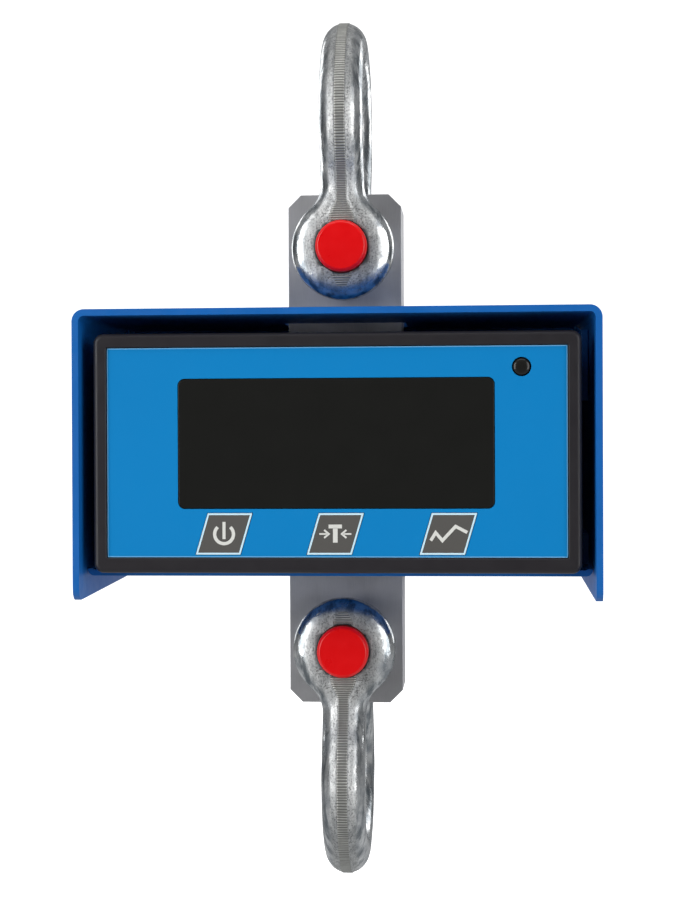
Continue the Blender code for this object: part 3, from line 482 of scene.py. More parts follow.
def ground_steel(name, colour):
    """Ground alloy steel: fine parallel lines and a faint uneven tone."""
    look = Look(name, metallic=0.7)
    lines = look.noise(1.0, 4.0, 0.65, place=look.stretched((5200, 5200, 130)))
    drift = look.noise(16 * MM, 4.0, 0.6)
    tone = look.mix(look.spread(drift), shade(colour, 0.86), shade(colour, 1.12))
    tone = look.mix(look.spread(lines, to_high=0.35), tone, shade(colour, 1.35))
    tone = look.mix(look.both(look.edges(), 0.5), tone, (0.6, 0.6, 0.62))
    look.bump(lines, 0.01 * MM)
    return look.done(tone, look.spread(drift, 0.3, 0.7, 0.42, 0.52))


def plated(name, colour=(0.62, 0.62, 0.6)):
    """Zinc-plated or stainless small metal parts."""
    look = Look(name, metallic=1.0)
    drift, tone = look.drifting(colour, 3 * MM, 3.0, 0.15)
    look.bump(look.noise(0.3 * MM, 2.0), 0.008 * MM)
    return look.done(tone, look.spread(drift, 0.3, 0.7, 0.25, 0.4))


def red_paint(name):
    """Glossy red enamel with a little flow and a few pale chips on its edges."""
    look = Look(name, coat=0.2, gloss=0.3)
    drift = look.noise(6 * MM, 3.0)
    tone = look.mix(drift, (0.74, 0.0015, 0.003), (0.82, 0.003, 0.005))
    chip = look.spread(look.noise(0.9 * MM, 4.0, 0.7), 0.6, 0.66)
    chips = look.both(look.edges(0.56, 0.64), chip)
    tone = look.mix(chips, tone, (0.35, 0.30, 0.28))
    look.bump(look.noise(2.2 * MM, 1.0), 0.03 * MM)
    return look.done(tone, look.spread(drift, 0.3, 0.7, 0.26, 0.36))


def film(name, colour, relief=0.006 * MM):
    """Matt printed polyester film: very fine grain and an even tone."""
    look = Look(name, gloss=0.12)
    _drift, tone = look.drifting(colour, 40 * MM, 2.0, 0.03)
    look.bump(look.noise(0.16 * MM, 1.0), relief)
    return look.done(tone, look.spread(look.noise(5 * MM), 0.3, 0.7, 0.5, 0.58))


def glossy_pane(name, colour):
    """Dark acrylic: smooth with a faint haze."""
    look = Look(name, gloss=0.3)
    haze, tone = look.drifting(colour, 14 * MM, 3.0, 0.1)
    look.bump(look.noise(20 * MM, 1.0), 0.01 * MM)
    return look.done(tone, look.spread(haze, 0.3, 0.7, 0.17, 0.185))


BLUE = (0.003, 0.122, 0.44)
LOOKS = {
    "zinc": galvanised("zinc"),
    "red": red_paint("red_enamel"),
    "cell": ground_steel("ground_cell", (0.47, 0.465, 0.475)),
    "cover": plated("turned_cover", (0.55, 0.55, 0.57)),
    "blue": powder_coat("blue_powder", BLUE),
    "overlay": film("overlay_blue", (0.003, 0.218, 0.545)),
    "overlay_edge": film("overlay_edge", (0.16, 0.46, 0.78)),
    "black": plastic("case_black", (0.021, 0.019, 0.022), 0.12, (0.36, 0.48), wear=0.5),
    "key": film("key_grey", (0.100, 0.096, 0.090)),
    "key_rim": film("key_rim", (0.62, 0.84, 0.95)),
    "icon": film("icon_white", (0.72, 0.72, 0.68)),
    "window": glossy_pane("window_dark", (0.012, 0.012, 0.011)),
    "dark": plastic("dark_plastic", (0.02, 0.02, 0.021)),
    "board": film("solder_mask", (0.02, 0.18, 0.07)),
    "rubber": plastic("black_rubber", (0.018, 0.018, 0.018), 0.15, (0.6, 0.75)),
    "battery": plastic("battery_wrap", (0.03, 0.16, 0.24), 0.05, (0.3, 0.4)),
    "steel": plated("plated_steel"),
    "foil": plated("gauge_foil", (0.60, 0.40, 0.16)),
}


# Shackles

def ear_half_width(height):
    """Half width of the ear and neck, seen from the front, at a height above the pin."""
    limb_x = BAR_R + NECK_FILLET
    fillet_top = math.sqrt((EAR_R + NECK_FILLET) ** 2 - limb_x ** 2)
    disc_top = EAR_R * fillet_top / (EAR_R + NECK_FILLET)
    if height >= fillet_top:
        return BAR_R
    if height <= disc_top:
        return math.sqrt(EAR_R ** 2 - height ** 2)
    return limb_x - math.sqrt(NECK_FILLET ** 2 - (fillet_top - height) ** 2)


def ease(value, start, end):
    """0 at start, 1 at end, smooth between."""
    share = min(max((value - start) / (end - start), 0.0), 1.0)
    return share * share * (3 - 2 * share)


def bow_stations(step=1.1 * MM):
    """Half of the bow's centre line, from an ear's lower end to the crown, as (y, height above
    the pin, direction, half thickness, length so far)."""
    ear_y = JAW_HALF + EAR_HALF_T
    crown_r = BOW_INNER_R + BAR_R
    crown_z = BOW_HEIGHT + PIN_R - BOW_INNER_R
    lean = math.acos((ear_y + SHOULDER_R) / (crown_r + SHOULDER_R))
    shoulder_z = crown_z - (crown_r + SHOULDER_R) * math.sin(lean)
    up = math.pi / 2
    stations = []
    for i in range(16):
        share = -math.cos(math.pi / 2 * (i + 0.6) / 15.6)
        height = share * EAR_R
        thickness = EAR_HALF_T * (1 - abs(share) ** EAR_SQUARENESS) ** (1 / EAR_SQUARENESS)
        stations.append((ear_y, height, up, thickness))
    count = round(shoulder_z / step)
    for i in range(count):
        stations.append((ear_y, shoulder_z * (i + 0.5) / count, up, EAR_HALF_T))
    count = round(SHOULDER_R * lean / step)
    for i in range(count):
        turn = lean * i / count
        y = ear_y + SHOULDER_R * (1 - math.cos(turn))
        thickness = EAR_HALF_T + (BAR_R - EAR_HALF_T) * i / count
        stations.append((y, shoulder_z + SHOULDER_R * math.sin(turn), up - turn, thickness))
    count = round(crown_r * (up + lean) / step)
    for i in range(count + 1):
        turn = -lean + (up + lean) * i / count
        z = crown_z + crown_r * math.sin(turn)
        stations.append((crown_r * math.cos(turn), z, up + turn, BAR_R))
    length = 0.0
    full = []
    for i, station in enumerate(stations):
        if i:
            before = stations[i - 1]
            length += math.hypot(station[0] - before[0], station[1] - before[1])
        full.append((*station, length, shoulder_z))
    return full


def flash_half_width(height):
    """Half width of the trimmed flash: a narrow strip that flares at the pin."""
    narrow, flare, foot = 2.3 * MM, 5.8 * MM, 4.5 * MM
    if height < -8 * MM:
        return narrow + (foot - narrow) * ease(height, -15.5 * MM, -13.0 * MM)
    return narrow + (flare - narrow) * ease(height, 21 * MM, 12 * MM)


def bow_ring(station, mirror, flank=20, across=8):
    """One cross-section of the bow, with a flat strip of flash outside and inside.  Gives the
    points and, for each, whether it is on the flash and how grainy the skin is there."""
    y, z, direction, half_t, _length, shoulder_z = station
    half_x = ear_half_width(z)
    blend = min(max(z / (shoulder_z * 1.4), 0.0), 1.0)
    power = EAR_SQUARENESS + (2 - EAR_SQUARENESS) * blend
    strip = min(flash_half_width(z), 0.45 * half_x)
    share = strip / half_x
    edge = (1 - share ** power) ** (1 / power)
    start = math.atan2(edge, share)
    raised = ease(z, -19 * MM, -14 * MM)
    shape = []
    for side in (1, -1):
        for i in range(flank):
            angle = start - 2 * start * i / (flank - 1)
            angle = angle if side < 0 else -angle
            c, s = math.cos(angle), math.sin(angle)
            reach = (abs(c) ** power + abs(s) ** power) ** (-1 / power)
            shape.append((side * reach * c, reach * s, 0.0))
        for i in range(across):
            x = share * 0.94 * (1 - 2 * i / (across - 1))
            curved = (1 - abs(x) ** power) ** (1 / power)
            lifted = curved + (1 - curved) * raised
            shape.append((side * x, side * lifted, float(raised > 0.5)))
    points, marks, grains = [], [], []
    on_ear = ease(z, 26 * MM, 12 * MM)
    for x, off, mark in shape:
        near = ease(abs(x), 0.72 + 0.08 * on_ear, 0.45 + 0.2 * on_ear)
        near *= ease(math.hypot(half_x * x, min(z, 0.0)) / EAR_R, 0.90, 0.70)
        grains.append(near * ease(abs(off), 0.45, 0.8))
        py = y + off * half_t * math.sin(direction)
        pz = z - off * half_t * math.cos(direction)
        points.append(Vector((half_x * x, mirror * py, pz)))
        marks.append(mark)
    return points, marks, grains


def make_bow(name, pin_z, up):
    """A forged bow whose crown is above its pin (up = 1) or below it (up = -1)."""
    stations = bow_stations()
    turn = Matrix.Rotation(0.0 if up > 0 else math.pi, 3, "Y")
    centre = Vector((0, 0, pin_z))
    total = 2 * stations[-1][4]
    rings, marks, grains, ridges = [], [], [], []
    for mirror, run in ((1, stations), (-1, stations[-2::-1])):
        for station in run:
            points, flags, grainy = bow_ring(station, mirror)
            grains += grainy
            length = station[4] if mirror > 0 else total - station[4]
            for point, flag in zip(points, flags):
                dent = noise.noise(point * 95) + 0.5 * noise.noise(point * 260)
                inward = Vector((point.x, 0.0, 0.0)).normalized()
                point -= inward * (0.14 * MM) * (0.75 + 0.5 * dent) * (1 - flag)
                marks.append(flag)
                ridges.append(Vector((point.x * 0.22, length, float(station[1] > 0))))
            rings.append([centre + turn @ p for p in points])
    bm = loft(rings)
    bow = mesh_object(name, bm, LOOKS["zinc"], smooth=48)
    for layer, values in (("flash", marks), ("grain", grains)):
        data = bow.data.attributes.new(layer, "FLOAT", "POINT").data
        data.foreach_set("value", values)
    ridge = bow.data.attributes.new("ridge", "FLOAT_VECTOR", "POINT")
    ridge.data.foreach_set("vector", [c for v in ridges for c in v])
    reach = JAW_HALF + 3 * EAR_HALF_T
    carve(bow, drill(centre, -reach, reach, EAR_HOLE_R, sides=64))
    bow.data.set_sharp_from_angle(angle=math.radians(48))
    return bow


def rounded(points, radius, steps=5):
    """A turned profile with each inner corner's point replaced by an arc-like curve."""
    out = [points[0]]
    for before, here, after in zip(points, points[1:], points[2:]):
        a = Vector((before[0] - here[0], before[1] - here[1]))
        b = Vector((after[0] - here[0], after[1] - here[1]))
        cut = min(radius, 0.45 * a.length, 0.45 * b.length)
        start = Vector(here) + a.normalized() * cut
        end = Vector(here) + b.normalized() * cut
        for i in range(steps + 1):
            t = i / steps
            out.append(tuple((1 - t) ** 2 * start + 2 * t * (1 - t) * Vector(here) + t ** 2 * end))
    out.append(points[-1])
    return out


def make_pin(name, node, pin_z, body):
    """Screw pin: a painted shank whose threaded end stands out in front, and a forged head."""
    low, high = corners(node)
    collar = JAW_HALF + 2 * EAR_HALF_T + GAP
    end = [(low.y, TINY), (low.y, PIN_R - 1.1 * MM), (low.y + 1.3 * MM, PIN_R)]
    shank = rounded(end + [(collar + MM, PIN_R), (collar + MM, TINY)], 0.5 * MM)
    piece = turned(name + "_shank", shank, (0, 0, pin_z), LOOKS["red"], sides=96)
    stand_in(piece, body, "red_paint", node)

    collar_r, collar_t = PIN_COLLAR
    eye_r, eye_t = PIN_EYE
    back = collar + collar_t
    profile = [(collar, TINY), (collar, collar_r), (back, collar_r), (back, TINY)]
    head = turned(name + "_head", rounded(profile, 1.2 * MM), (0, 0, pin_z), LOOKS["red"])
    eye_y = high.y - eye_r
    outline = [(back - 3 * MM, eye_r), (back - 3 * MM, -eye_r)]
    for i in range(25):
        angle = -math.pi / 2 + math.pi * i / 24
        outline.append((eye_y + eye_r * math.cos(angle), eye_r * math.sin(angle)))
    eye = side_block([(y, pin_z + z) for y, z in outline], -eye_t, eye_t)
    carve(head, eye, how="UNION")
    hole = drill((0, eye_y, pin_z), -2 * eye_t, 2 * eye_t, PIN_EYE_HOLE_R, "X", 48)
    carve(head, hole)
    remesh = head.modifiers.new("forged", "REMESH")
    remesh.mode = "VOXEL"
    remesh.voxel_size = 0.45 * MM
    even = head.modifiers.new("even", "SMOOTH")
    even.iterations = 12
    even.factor = 0.5
    bake_modifiers(head)
    head.data.shade_smooth()
    stand_in(head, body, "red_paint")


def make_shackles():
    bow = make_bow("upper_bow_forging", PIN_Z, 1)
    stand_in(bow, "upper_shackle", "zinc_steel", "upper_bow")
    bow = make_bow("lower_bow_forging", LOWER_PIN_Z, -1)
    stand_in(bow, "lower_shackle", "zinc_steel", "lower_bow")
    make_pin("upper_pin", "upper_pin", PIN_Z, "upper_shackle")
    make_pin("lower_pin", "lower_pin", LOWER_PIN_Z, "lower_shackle")


# Load cell

def make_load_cell():
    low, high = corners("load_cell")
    centre = (CELL_MID.x, CELL_MID.z)
    outline = rectangle(high.x - low.x, high.z - low.z, CELL_CHAMFER, centre, steps=1)
    bar = prism("load_cell_bar", outline, low.y, high.y, LOOKS["cell"])
    cutters = []
    chamfer, bolt_hole_r, lead_hole_r = 0.8 * MM, 3.3 * MM, 2.8 * MM
    for z in (PIN_Z, LOWER_PIN_Z):
        profile = [
            (low.y - MM, CELL_BORE_R + chamfer + MM),
            (low.y + chamfer, CELL_BORE_R),
            (high.y - chamfer, CELL_BORE_R),
            (high.y + MM, CELL_BORE_R + chamfer + MM),
        ]
        cutters.append(turned("bore", profile, (0, 0, z)))
    seat_r, seat_depth = COVER_SEAT
    pocket_r, pocket_depth = POCKET
    for face, sign in ((low.y, -1), (high.y, 1)):
        profile = [
            (face - sign * pocket_depth, pocket_r),
            (face - sign * seat_depth, pocket_r),
            (face - sign * seat_depth, seat_r),
            (face + sign * MM, seat_r),
        ]
        cutters.append(turned("pocket", profile, (0, 0, CELL_MID.z)))
    for side in SIDES:
        bolt = middle("bracket_bolt_" + side)
        cutters.append(drill(bolt, low.y - MM, 0.0, bolt_hole_r))
    carve(bar, *cutters)
    soften(bar, 0.5 * MM, 2)
    stand_in(bar, SCALE_BODY, "cell_steel", "load_cell")
    for side, sign in (("front", -1), ("rear", 1)):
        node = "gauge_cover_" + side
        low, high = corners(node)
        inner, outer = (high.y, low.y) if sign < 0 else (low.y, high.y)
        radius = (high.x - low.x) / 2
        hole = lead_hole_r if side == "front" else TINY
        groove = outer - sign * 0.35 * MM
        profile = [
            (inner, hole),
            (inner, radius),
            (outer, radius),
            (outer, radius * 0.86),
            (groove, radius * 0.84),
            (groove, radius * 0.80),
            (outer, radius * 0.78),
            (outer, hole),
        ]
        ring = rounded(profile, 0.4 * MM, 3)
        cover = turned("gauge_disc_" + side, ring, (0, 0, CELL_MID.z), LOOKS["cover"])
        stand_in(cover, SCALE_BODY, "cover_steel", node)


# Sheet metal

def make_hood():
    low, high = corners("hood")
    outline = folded_outline(high.x, high.z, low.z, SHEET, HOOD_BEND_R, 12)
    hood = prism("hood_sheet", outline, low.y, high.y, LOOKS["blue"])
    slot = rectangle(*HOOD_SLOT, 2.5 * MM, steps=6)
    cutters = [upright_block(slot, high.z - 4 * SHEET, high.z + SHEET)]
    for face, toward in ((low.y, 1), (high.y, -1)):
        mid = face + toward * HOOD_TIP_R
        edge = []
        for i in range(11):
            angle = math.pi / 2 * i / 10
            dy = toward * HOOD_TIP_R * math.sin(angle)
            edge.append((mid - dy, low.z + HOOD_TIP_R * (1 - math.cos(angle))))
        out = 2 * MM
        edge += [(face - toward * out, low.z + HOOD_TIP_R), (face - toward * out, low.z - out)]
        edge.append((mid, low.z - out))
        cutters.append(side_block(edge, 2 * low.x, 2 * high.x))
    slope, beyond = HOOD_RISE / (high.y - low.y), 5 * MM
    edge = [
        (low.y - beyond, low.z - slope * beyond),
        (high.y + beyond, low.z + HOOD_RISE + slope * beyond),
        (high.y + beyond, low.z - beyond),
        (low.y - beyond, low.z - beyond),
    ]
    cutters.append(side_block(edge, 2 * low.x, 2 * high.x))
    sink_r, sink_depth = HOOD_SINK
    for number in HOOD_SCREWS:
        spot = middle(f"hood_screw_{number}")
        side = 1 if spot.x > 0 else -1
        wall = side * high.x
        profile = [
            (wall + side * MM, sink_r),
            (wall - side * GAP, sink_r),
            (wall - side * sink_depth, SCREW_HOLE_R),
            (wall - side * 6 * MM, SCREW_HOLE_R),
        ]
        cutters.append(turned("sink", profile, spot, axis="X", sides=40))
    carve(hood, *cutters)
    soften(hood, 0.45 * MM, 3)
    stand_in(hood, SCALE_BODY, "blue_paint", "hood")


def hexagon(radius, centre):
    """Outline of a screw's socket, a little turned."""
    turns = [math.pi / 3 * i + 0.2 for i in range(6)]
    return [(centre[0] + radius * math.cos(t), centre[1] + radius * math.sin(t)) for t in turns]


def cross(length, width, centre):
    """Outlines of the two slots of a cross recess."""
    return [rectangle(*size, middle_at=centre) for size in ((length, width), (width, length))]


def make_hood_screws():
    for number in HOOD_SCREWS:
        node = f"hood_screw_{number}"
        low, high = corners(node)
        side = 1 if low.x > 0 else -1
        outer, inner = (high.x, low.x) if side > 0 else (low.x, high.x)
        spot = middle(node)
        profile = [
            (outer, TINY),
            (outer, HOOD_SCREW_HEAD_R),
            (outer - side * 0.25 * MM, HOOD_SCREW_HEAD_R + 0.1 * MM),
            (outer - side * HOOD_SINK[1], SCREW_R),
            (inner, SCREW_R),
            (inner, TINY),
        ]
        name = f"countersunk_screw_{number}"
        screw = turned(name, profile, spot, LOOKS["steel"], axis="X", sides=48)
        socket = hexagon(1.4 * MM, (spot.y, spot.z))
        carve(screw, side_block(socket, outer - side * 1.5 * MM, outer + side * MM))
        stand_in(screw, SCALE_BODY, "screw_steel", node)


def tray(name, node, sheet, bend, flat, holes=(), closer=0.0):
    """A sheet with its left and right edges folded, read from its CAD node's box: lying flat
    with its edges turned up, or upright with its edges turned forward and its top a little
    closer to what is above it."""
    low, high = corners(node)
    if flat:
        face, tips, ends = low.z, high.z, (low.y, high.y)
    else:
        face, tips, ends = high.y, low.y, (low.z, high.z + closer)
    outline = folded_outline(high.x, face, tips, sheet, bend, 8)
    rings = [[(x, e, d) if flat else (x, d, e) for x, d in outline] for e in ends]
    piece = mesh_object(name, loft(rings), LOOKS["blue"])
    holes = list(holes)
    for number in HOOD_SCREWS:
        spot = middle(f"hood_screw_{number}")
        if all(low[i] < spot[i] < high[i] for i in (1, 2)):
            reach = 7 * MM
            holes.append(drill(spot, spot.x - reach, spot.x + reach, SCREW_HOLE_R, "X"))
    carve(piece, *holes)
    soften(piece, 0.35 * MM, 2)
    return stand_in(piece, SCALE_BODY, "blue_paint", node)


def make_base_plate():
    low, high = corners("base_plate")
    z0, z1 = low.z - MM, low.z + 6 * MM
    jack = middle("charge_socket")
    holes = [upright_block(rectangle(*HOOD_SLOT, 2 * MM, steps=6), z0, z1)]
    holes.append(drill(jack, z0, z1, JACK_HOLE_R, "Z", 64))
    for side in SIDES:
        foot = middle("foot_screw_" + side)
        head_z = corners("foot_screw_" + side)[0].z
        head_r = 3.9 * MM
        sink = [(z0, head_r), (head_z, head_r), (head_z + SCREW_TAPER, SCREW_HOLE_R),
                (z1, SCREW_HOLE_R)]
        holes.append(turned("foot_hole", sink, foot, axis="Z", sides=32))
    for sign in (-1, 1):
        notch = rectangle(9 * MM, 2 * FLANGE_BACK, middle_at=(sign * high.x, low.y))
        holes.append(upright_block(notch, low.z + PLATE[1], high.z + MM))
    tray("base_plate_sheet", "base_plate", *PLATE, True, holes)


def make_back_panel():
    low, high = corners("back_panel")
    plate = corners("base_plate")[1]
    cuts = []
    for sign in (-1, 1):
        notch = rectangle(8 * MM, 40 * MM, middle_at=(sign * high.x, high.y - 22.6 * MM))
        cuts.append(upright_block(notch, low.z - MM, plate.z + GAP))
        edge, up = sign * (high.x + 1.3 * MM), high.z + MM
        corner = [(edge, high.z - 3 * MM), (edge, up), (sign * (high.x - 2.7 * MM), up)]
        cuts.append(prism("corner", corner, low.y - MM, high.y + MM))
    tray("back_sheet", "back_panel", *PLATE, False, cuts, 0.26 * MM)


def make_foot_screw(node):
    """Countersunk screw with a cross slot, from below."""
    low, high, spot = whole_box(node)
    profile = [
        (low.z, TINY),
        (low.z, 3.5 * MM),
        (low.z + 0.15 * MM, 3.55 * MM),
        (low.z + SCREW_TAPER, SCREW_R),
        (high.z, SCREW_R),
        (high.z, TINY),
    ]
    screw = turned(node + "_sunk", profile, spot, LOOKS["steel"], "Z", 48)
    slots = cross(4.0 * MM, 0.8 * MM, (spot.x, spot.y))
    carve(screw, *[upright_block(slot, low.z - MM, low.z + 1.1 * MM) for slot in slots])
    stand_in(screw, SCALE_BODY, "screw_steel", node)


def make_bracket_bolt(side):
    """Button-head bolt with a hexagon socket."""
    node = "bracket_bolt_" + side
    low, high, spot = whole_box(node)
    seat = low.y + 3.3 * MM
    bolt_r = 3.0 * MM
    profile = [
        (low.y, TINY),
        (low.y, 2.4 * MM),
        (low.y + 0.6 * MM, 4.0 * MM),
        (low.y + 1.6 * MM, 5.0 * MM),
        (seat, 5.2 * MM),
        (seat, bolt_r),
        (high.y, bolt_r),
        (high.y, TINY),
    ]
    bolt = turned("button_bolt_" + side, profile, spot, LOOKS["steel"], sides=48)
    socket = hexagon(2.2 * MM, (spot.x, spot.z))
    carve(bolt, prism("socket", socket, low.y - MM, low.y + 2 * MM))
    stand_in(bolt, SCALE_BODY, "screw_steel", node)


def make_sheet_metal():
    make_hood()
    make_hood_screws()
    make_base_plate()
    tray("bracket_sheet", "cross_bracket", *BRACKET, False)
    make_back_panel()
    for side in SIDES:
        make_foot_screw("foot_screw_" + side)
    for side in SIDES:
        make_bracket_bolt(side)


# Display unit

def key_outline(node, grow=0.0):
    """Outline of a leaning key from its CAD box, with its four edges moved outward."""
    spot = middle(node)
    low, high = corners(node)
    width, height = KEY_W, high.z - low.z
    left, right = spot.x - width / 2 - grow, spot.x + width / 2 + grow
    top, bottom = spot.z + height / 2 + grow, spot.z - height / 2 - grow
    lean = KEY_SHEAR * (height + 2 * grow) / height / 2
    return [(left - lean, bottom), (right - lean, bottom), (right + lean, top), (left + lean, top)]


def front_openings(y0, y1):
    """Cutters for the window, the keys and the receiver's lens."""
    window, lens = middle("display_window"), middle("ir_lens")
    size = (WINDOW[0] + 2 * GAP, WINDOW[1] + 2 * GAP, WINDOW_R + GAP)
    cutters = [prism("window", rectangle(*size, (0, window.z)), y0, y1)]
    for name in KEYS:
        cutters.append(prism("key", key_outline(name + "_key", KEY_SLIT), y0, y1))
    cutters.append(drill(lens, y0, y1, LENS_HOLE_R, sides=48))
    return cutters


def make_frame():
    """Front frame: a soft outer edge, a crisp recess for the overlay and openings behind it."""
    low, high, spot = whole_box("front_frame")
    width, height = high.x - low.x, high.z - low.z
    over_low, over_high, over = whole_box("membrane_overlay")
    floor = over_high.y + GAP
    edge, lip = 2.2 * MM, 0.5 * MM
    corner = 4.0 * MM
    rings = []

    def ring(y, inset, radius):
        outline = rectangle(width - 2 * inset, height - 2 * inset, radius, (0, spot.z))
        rings.append(at_depth(outline, y))

    ring(high.y, 0.4 * MM, corner - 0.4 * MM)
    ring(high.y - 0.4 * MM, 0.0, corner)
    for i in range(9):
        angle = math.pi / 2 * i / 8
        inset = edge * (1 - math.cos(angle))
        ring(low.y + edge * (1 - math.sin(angle)), inset, max(corner - inset, MM))
    recess_w = over_high.x - over_low.x + 2 * GAP
    recess_h = over_high.z - over_low.z + 2 * GAP
    recess_r = 0.6 * MM
    for i in range(5):
        angle = math.pi / 2 * i / 4
        grow = lip * (1 - math.sin(angle))
        outline = rectangle(recess_w + 2 * grow, recess_h + 2 * grow, recess_r + grow,
                            (0, over.z))
        rings.append(at_depth(outline, low.y + lip * (1 - math.cos(angle))))
    outline = rectangle(recess_w, recess_h, recess_r, (0, over.z))
    rings.append(at_depth(outline, floor))
    case = mesh_object("front_frame_moulding", loft(rings), LOOKS["black"], smooth=40)
    cavity = rectangle(*FRAME_CAVITY, 2 * MM, (0, spot.z), 4)
    cavity = prism("cavity", cavity, floor + 2.5 * MM, high.y + MM)
    carve(case, cavity, *front_openings(low.y - MM, floor + 4 * MM))
    case.data.set_sharp_from_angle(angle=math.radians(40))
    stand_in(case, SCALE_BODY, "black_case", "front_frame")


def make_overlay():
    """Blue film with a pale hairline along its edge."""
    low, high, spot = whole_box("membrane_overlay")
    size = (high.x - low.x, high.z - low.z)
    outline = rectangle(*size, 0.3 * MM, (0, spot.z), 3)
    sheet = prism("overlay_film", outline, low.y, high.y, LOOKS["overlay"])
    carve(sheet, *front_openings(low.y - MM, high.y + MM))
    soften(sheet, 0.1 * MM, 2)
    stand_in(sheet, SCALE_BODY, "overlay_film", "membrane_overlay")
    line = 0.4 * MM
    inner = rectangle(size[0] - 2 * line, size[1] - 2 * line, 0.3 * MM, (0, spot.z), 3)
    border = raised_line("overlay_border", outline, inner, low.y, 0.03 * MM, "overlay_edge")
    stand_in(border, SCALE_BODY, "overlay_film")


def make_window():
    low, high, spot = whole_box("display_window")
    outline = rectangle(*WINDOW, WINDOW_R, (0, spot.z))
    pane = prism("window_pane", outline, low.y, high.y - 2.5 * MM, LOOKS["window"])
    soften(pane, 0.25 * MM, 3)
    stand_in(pane, SCALE_BODY, "window_acrylic", "display_window")


def make_receiver_lens():
    low, high, spot = whole_box("ir_lens")
    dome_r, dome_rise, rim_r = 3.4 * MM, 1.2 * MM, 3.6 * MM
    dome = [(low.y, TINY / 2)]
    for i in range(1, 9):
        angle = math.pi / 2 * i / 8
        dome.append((low.y + dome_rise * (1 - math.cos(angle)), dome_r * math.sin(angle)))
    dome += [(low.y + 1.5 * MM, rim_r), (high.y, rim_r), (high.y, TINY / 2)]
    lens = turned("receiver_lens", dome, spot, LOOKS["window"], sides=48)
    stand_in(lens, SCALE_BODY, "window_acrylic", "ir_lens")


def stroke(points, width, y0, y1):
    """Closed prism along a polyline of (x, z) points."""
    left, right = [], []
    for i, here in enumerate(points):
        here = Vector(here)
        before = Vector(points[max(i - 1, 0)])
        after = Vector(points[min(i + 1, len(points) - 1)])
        a = (here - before).normalized() if i else (after - here).normalized()
        b = (after - here).normalized() if i < len(points) - 1 else a
        along = (a + b).normalized()
        across = Vector((-along.y, along.x))
        reach = width / 2 / max(across.dot(Vector((-a.y, a.x))), 0.4)
        left.append(tuple(here + across * reach))
        right.append(tuple(here - across * reach))
    outline = left + right[::-1]
    return loft([at_depth(outline, y) for y in (y0, y1)])


def joined(name, parts, look):
    """Several closed bodies in one object."""
    bm = bmesh.new()
    for part in parts:
        mesh = bpy.data.meshes.new("part")
        bmesh.ops.recalc_face_normals(part, faces=part.faces)
        part.to_mesh(mesh)
        part.free()
        bm.from_mesh(mesh)
        bpy.data.meshes.remove(mesh)
    return mesh_object(name, bm, look)


def arc(centre, radius, start, end, steps=28):
    """Points from one angle to another, in degrees clockwise from the top."""
    turns = [math.radians(start + (end - start) * i / steps) for i in range(steps + 1)]
    return [(centre[0] + radius * math.sin(t), centre[1] + radius * math.cos(t)) for t in turns]


def icon_strokes(name, x, z):
    """Lines of a key's symbol as (points, width), around the key's middle."""
    if name == "power":
        circle = arc((x, z - 0.1 * MM), 3.85 * MM, 42, 318)
        bar = [(x, z - 2.1 * MM), (x, z + 4.9 * MM)]
        return [(circle, 1.35 * MM), (bar, 1.25 * MM)]
    if name == "tare":
        top, foot, bar = z + 3.8 * MM, z - 3.5 * MM, 1.55 * MM
        strokes = [([(x - 2.7 * MM, top - bar / 2), (x + 2.7 * MM, top - bar / 2)], bar)]
        strokes.append(([(x, top - 0.9 * bar), (x, foot)], 1.9 * MM))
        for sign in (-1, 1):
            tip, tail = x + sign * 2.6 * MM, x + sign * 6.5 * MM
            back = tip + sign * 1.9 * MM
            strokes.append(([(tail, z), (tip + sign * 0.6 * MM, z)], 0.65 * MM))
            strokes.append(([(back, z + 1.6 * MM), (tip, z), (back, z - 1.6 * MM)], 0.75 * MM))
        return strokes
    points = [(-7.1, -2.65), (-5.1, 0.5), (-2.4, -2.65), (2.9, 3.05), (7.6, 0.6)]
    return [([(x + px * MM, z + pz * MM) for px, pz in points], 1.3 * MM)]


def raised_line(name, outer, inner, face, proud, look):
    """A line between two outlines, standing a little in front of a face."""
    steps = ((outer, proud), (outer, -proud), (inner, -proud), (inner, proud))
    rings = [at_depth(outline, face + off) for outline, off in steps]
    return mesh_object(name, loft(rings, closed=True), LOOKS[look])


def make_keys():
    """Keys: a leaning pad, a bar behind it that keeps it in, a stem, a rim and a symbol."""
    pad_t, bar_size, stem_r = 4.3 * MM, (25.3 * MM, 10 * MM), 2 * MM
    for name in KEYS:
        node = name + "_key"
        body = name + "_button"
        low, high, spot = whole_box(node)
        back = low.y + pad_t
        pad = prism(name + "_pad", key_outline(node), low.y, back, LOOKS["key"])
        bar = rectangle(*bar_size, 0.5 * MM, (spot.x, spot.z), 3)
        bar = prism("bar", bar, back - MM / 2, back + MM / 2)
        stem = [(back + 0.2 * MM, stem_r), (high.y, stem_r)]
        stem = turned("stem", stem, spot, sides=32)
        carve(pad, bar, stem, how="UNION")
        soften(pad, 0.12 * MM, 2)
        stand_in(pad, body, "key_grey", node)
        face, lift = low.y, 0.06 * MM
        outer, inner = key_outline(node, -0.06 * MM), key_outline(node, -0.80 * MM)
        rim = raised_line(name + "_rim", outer, inner, face, lift, "key_rim")
        stand_in(rim, body, "key_grey")
        parts = [stroke(points, width, face - lift, face + lift)
                 for points, width in icon_strokes(name, spot.x, spot.z)]
        icon = joined(name + "_icon", parts, LOOKS["icon"])
        stand_in(icon, body, "key_grey")


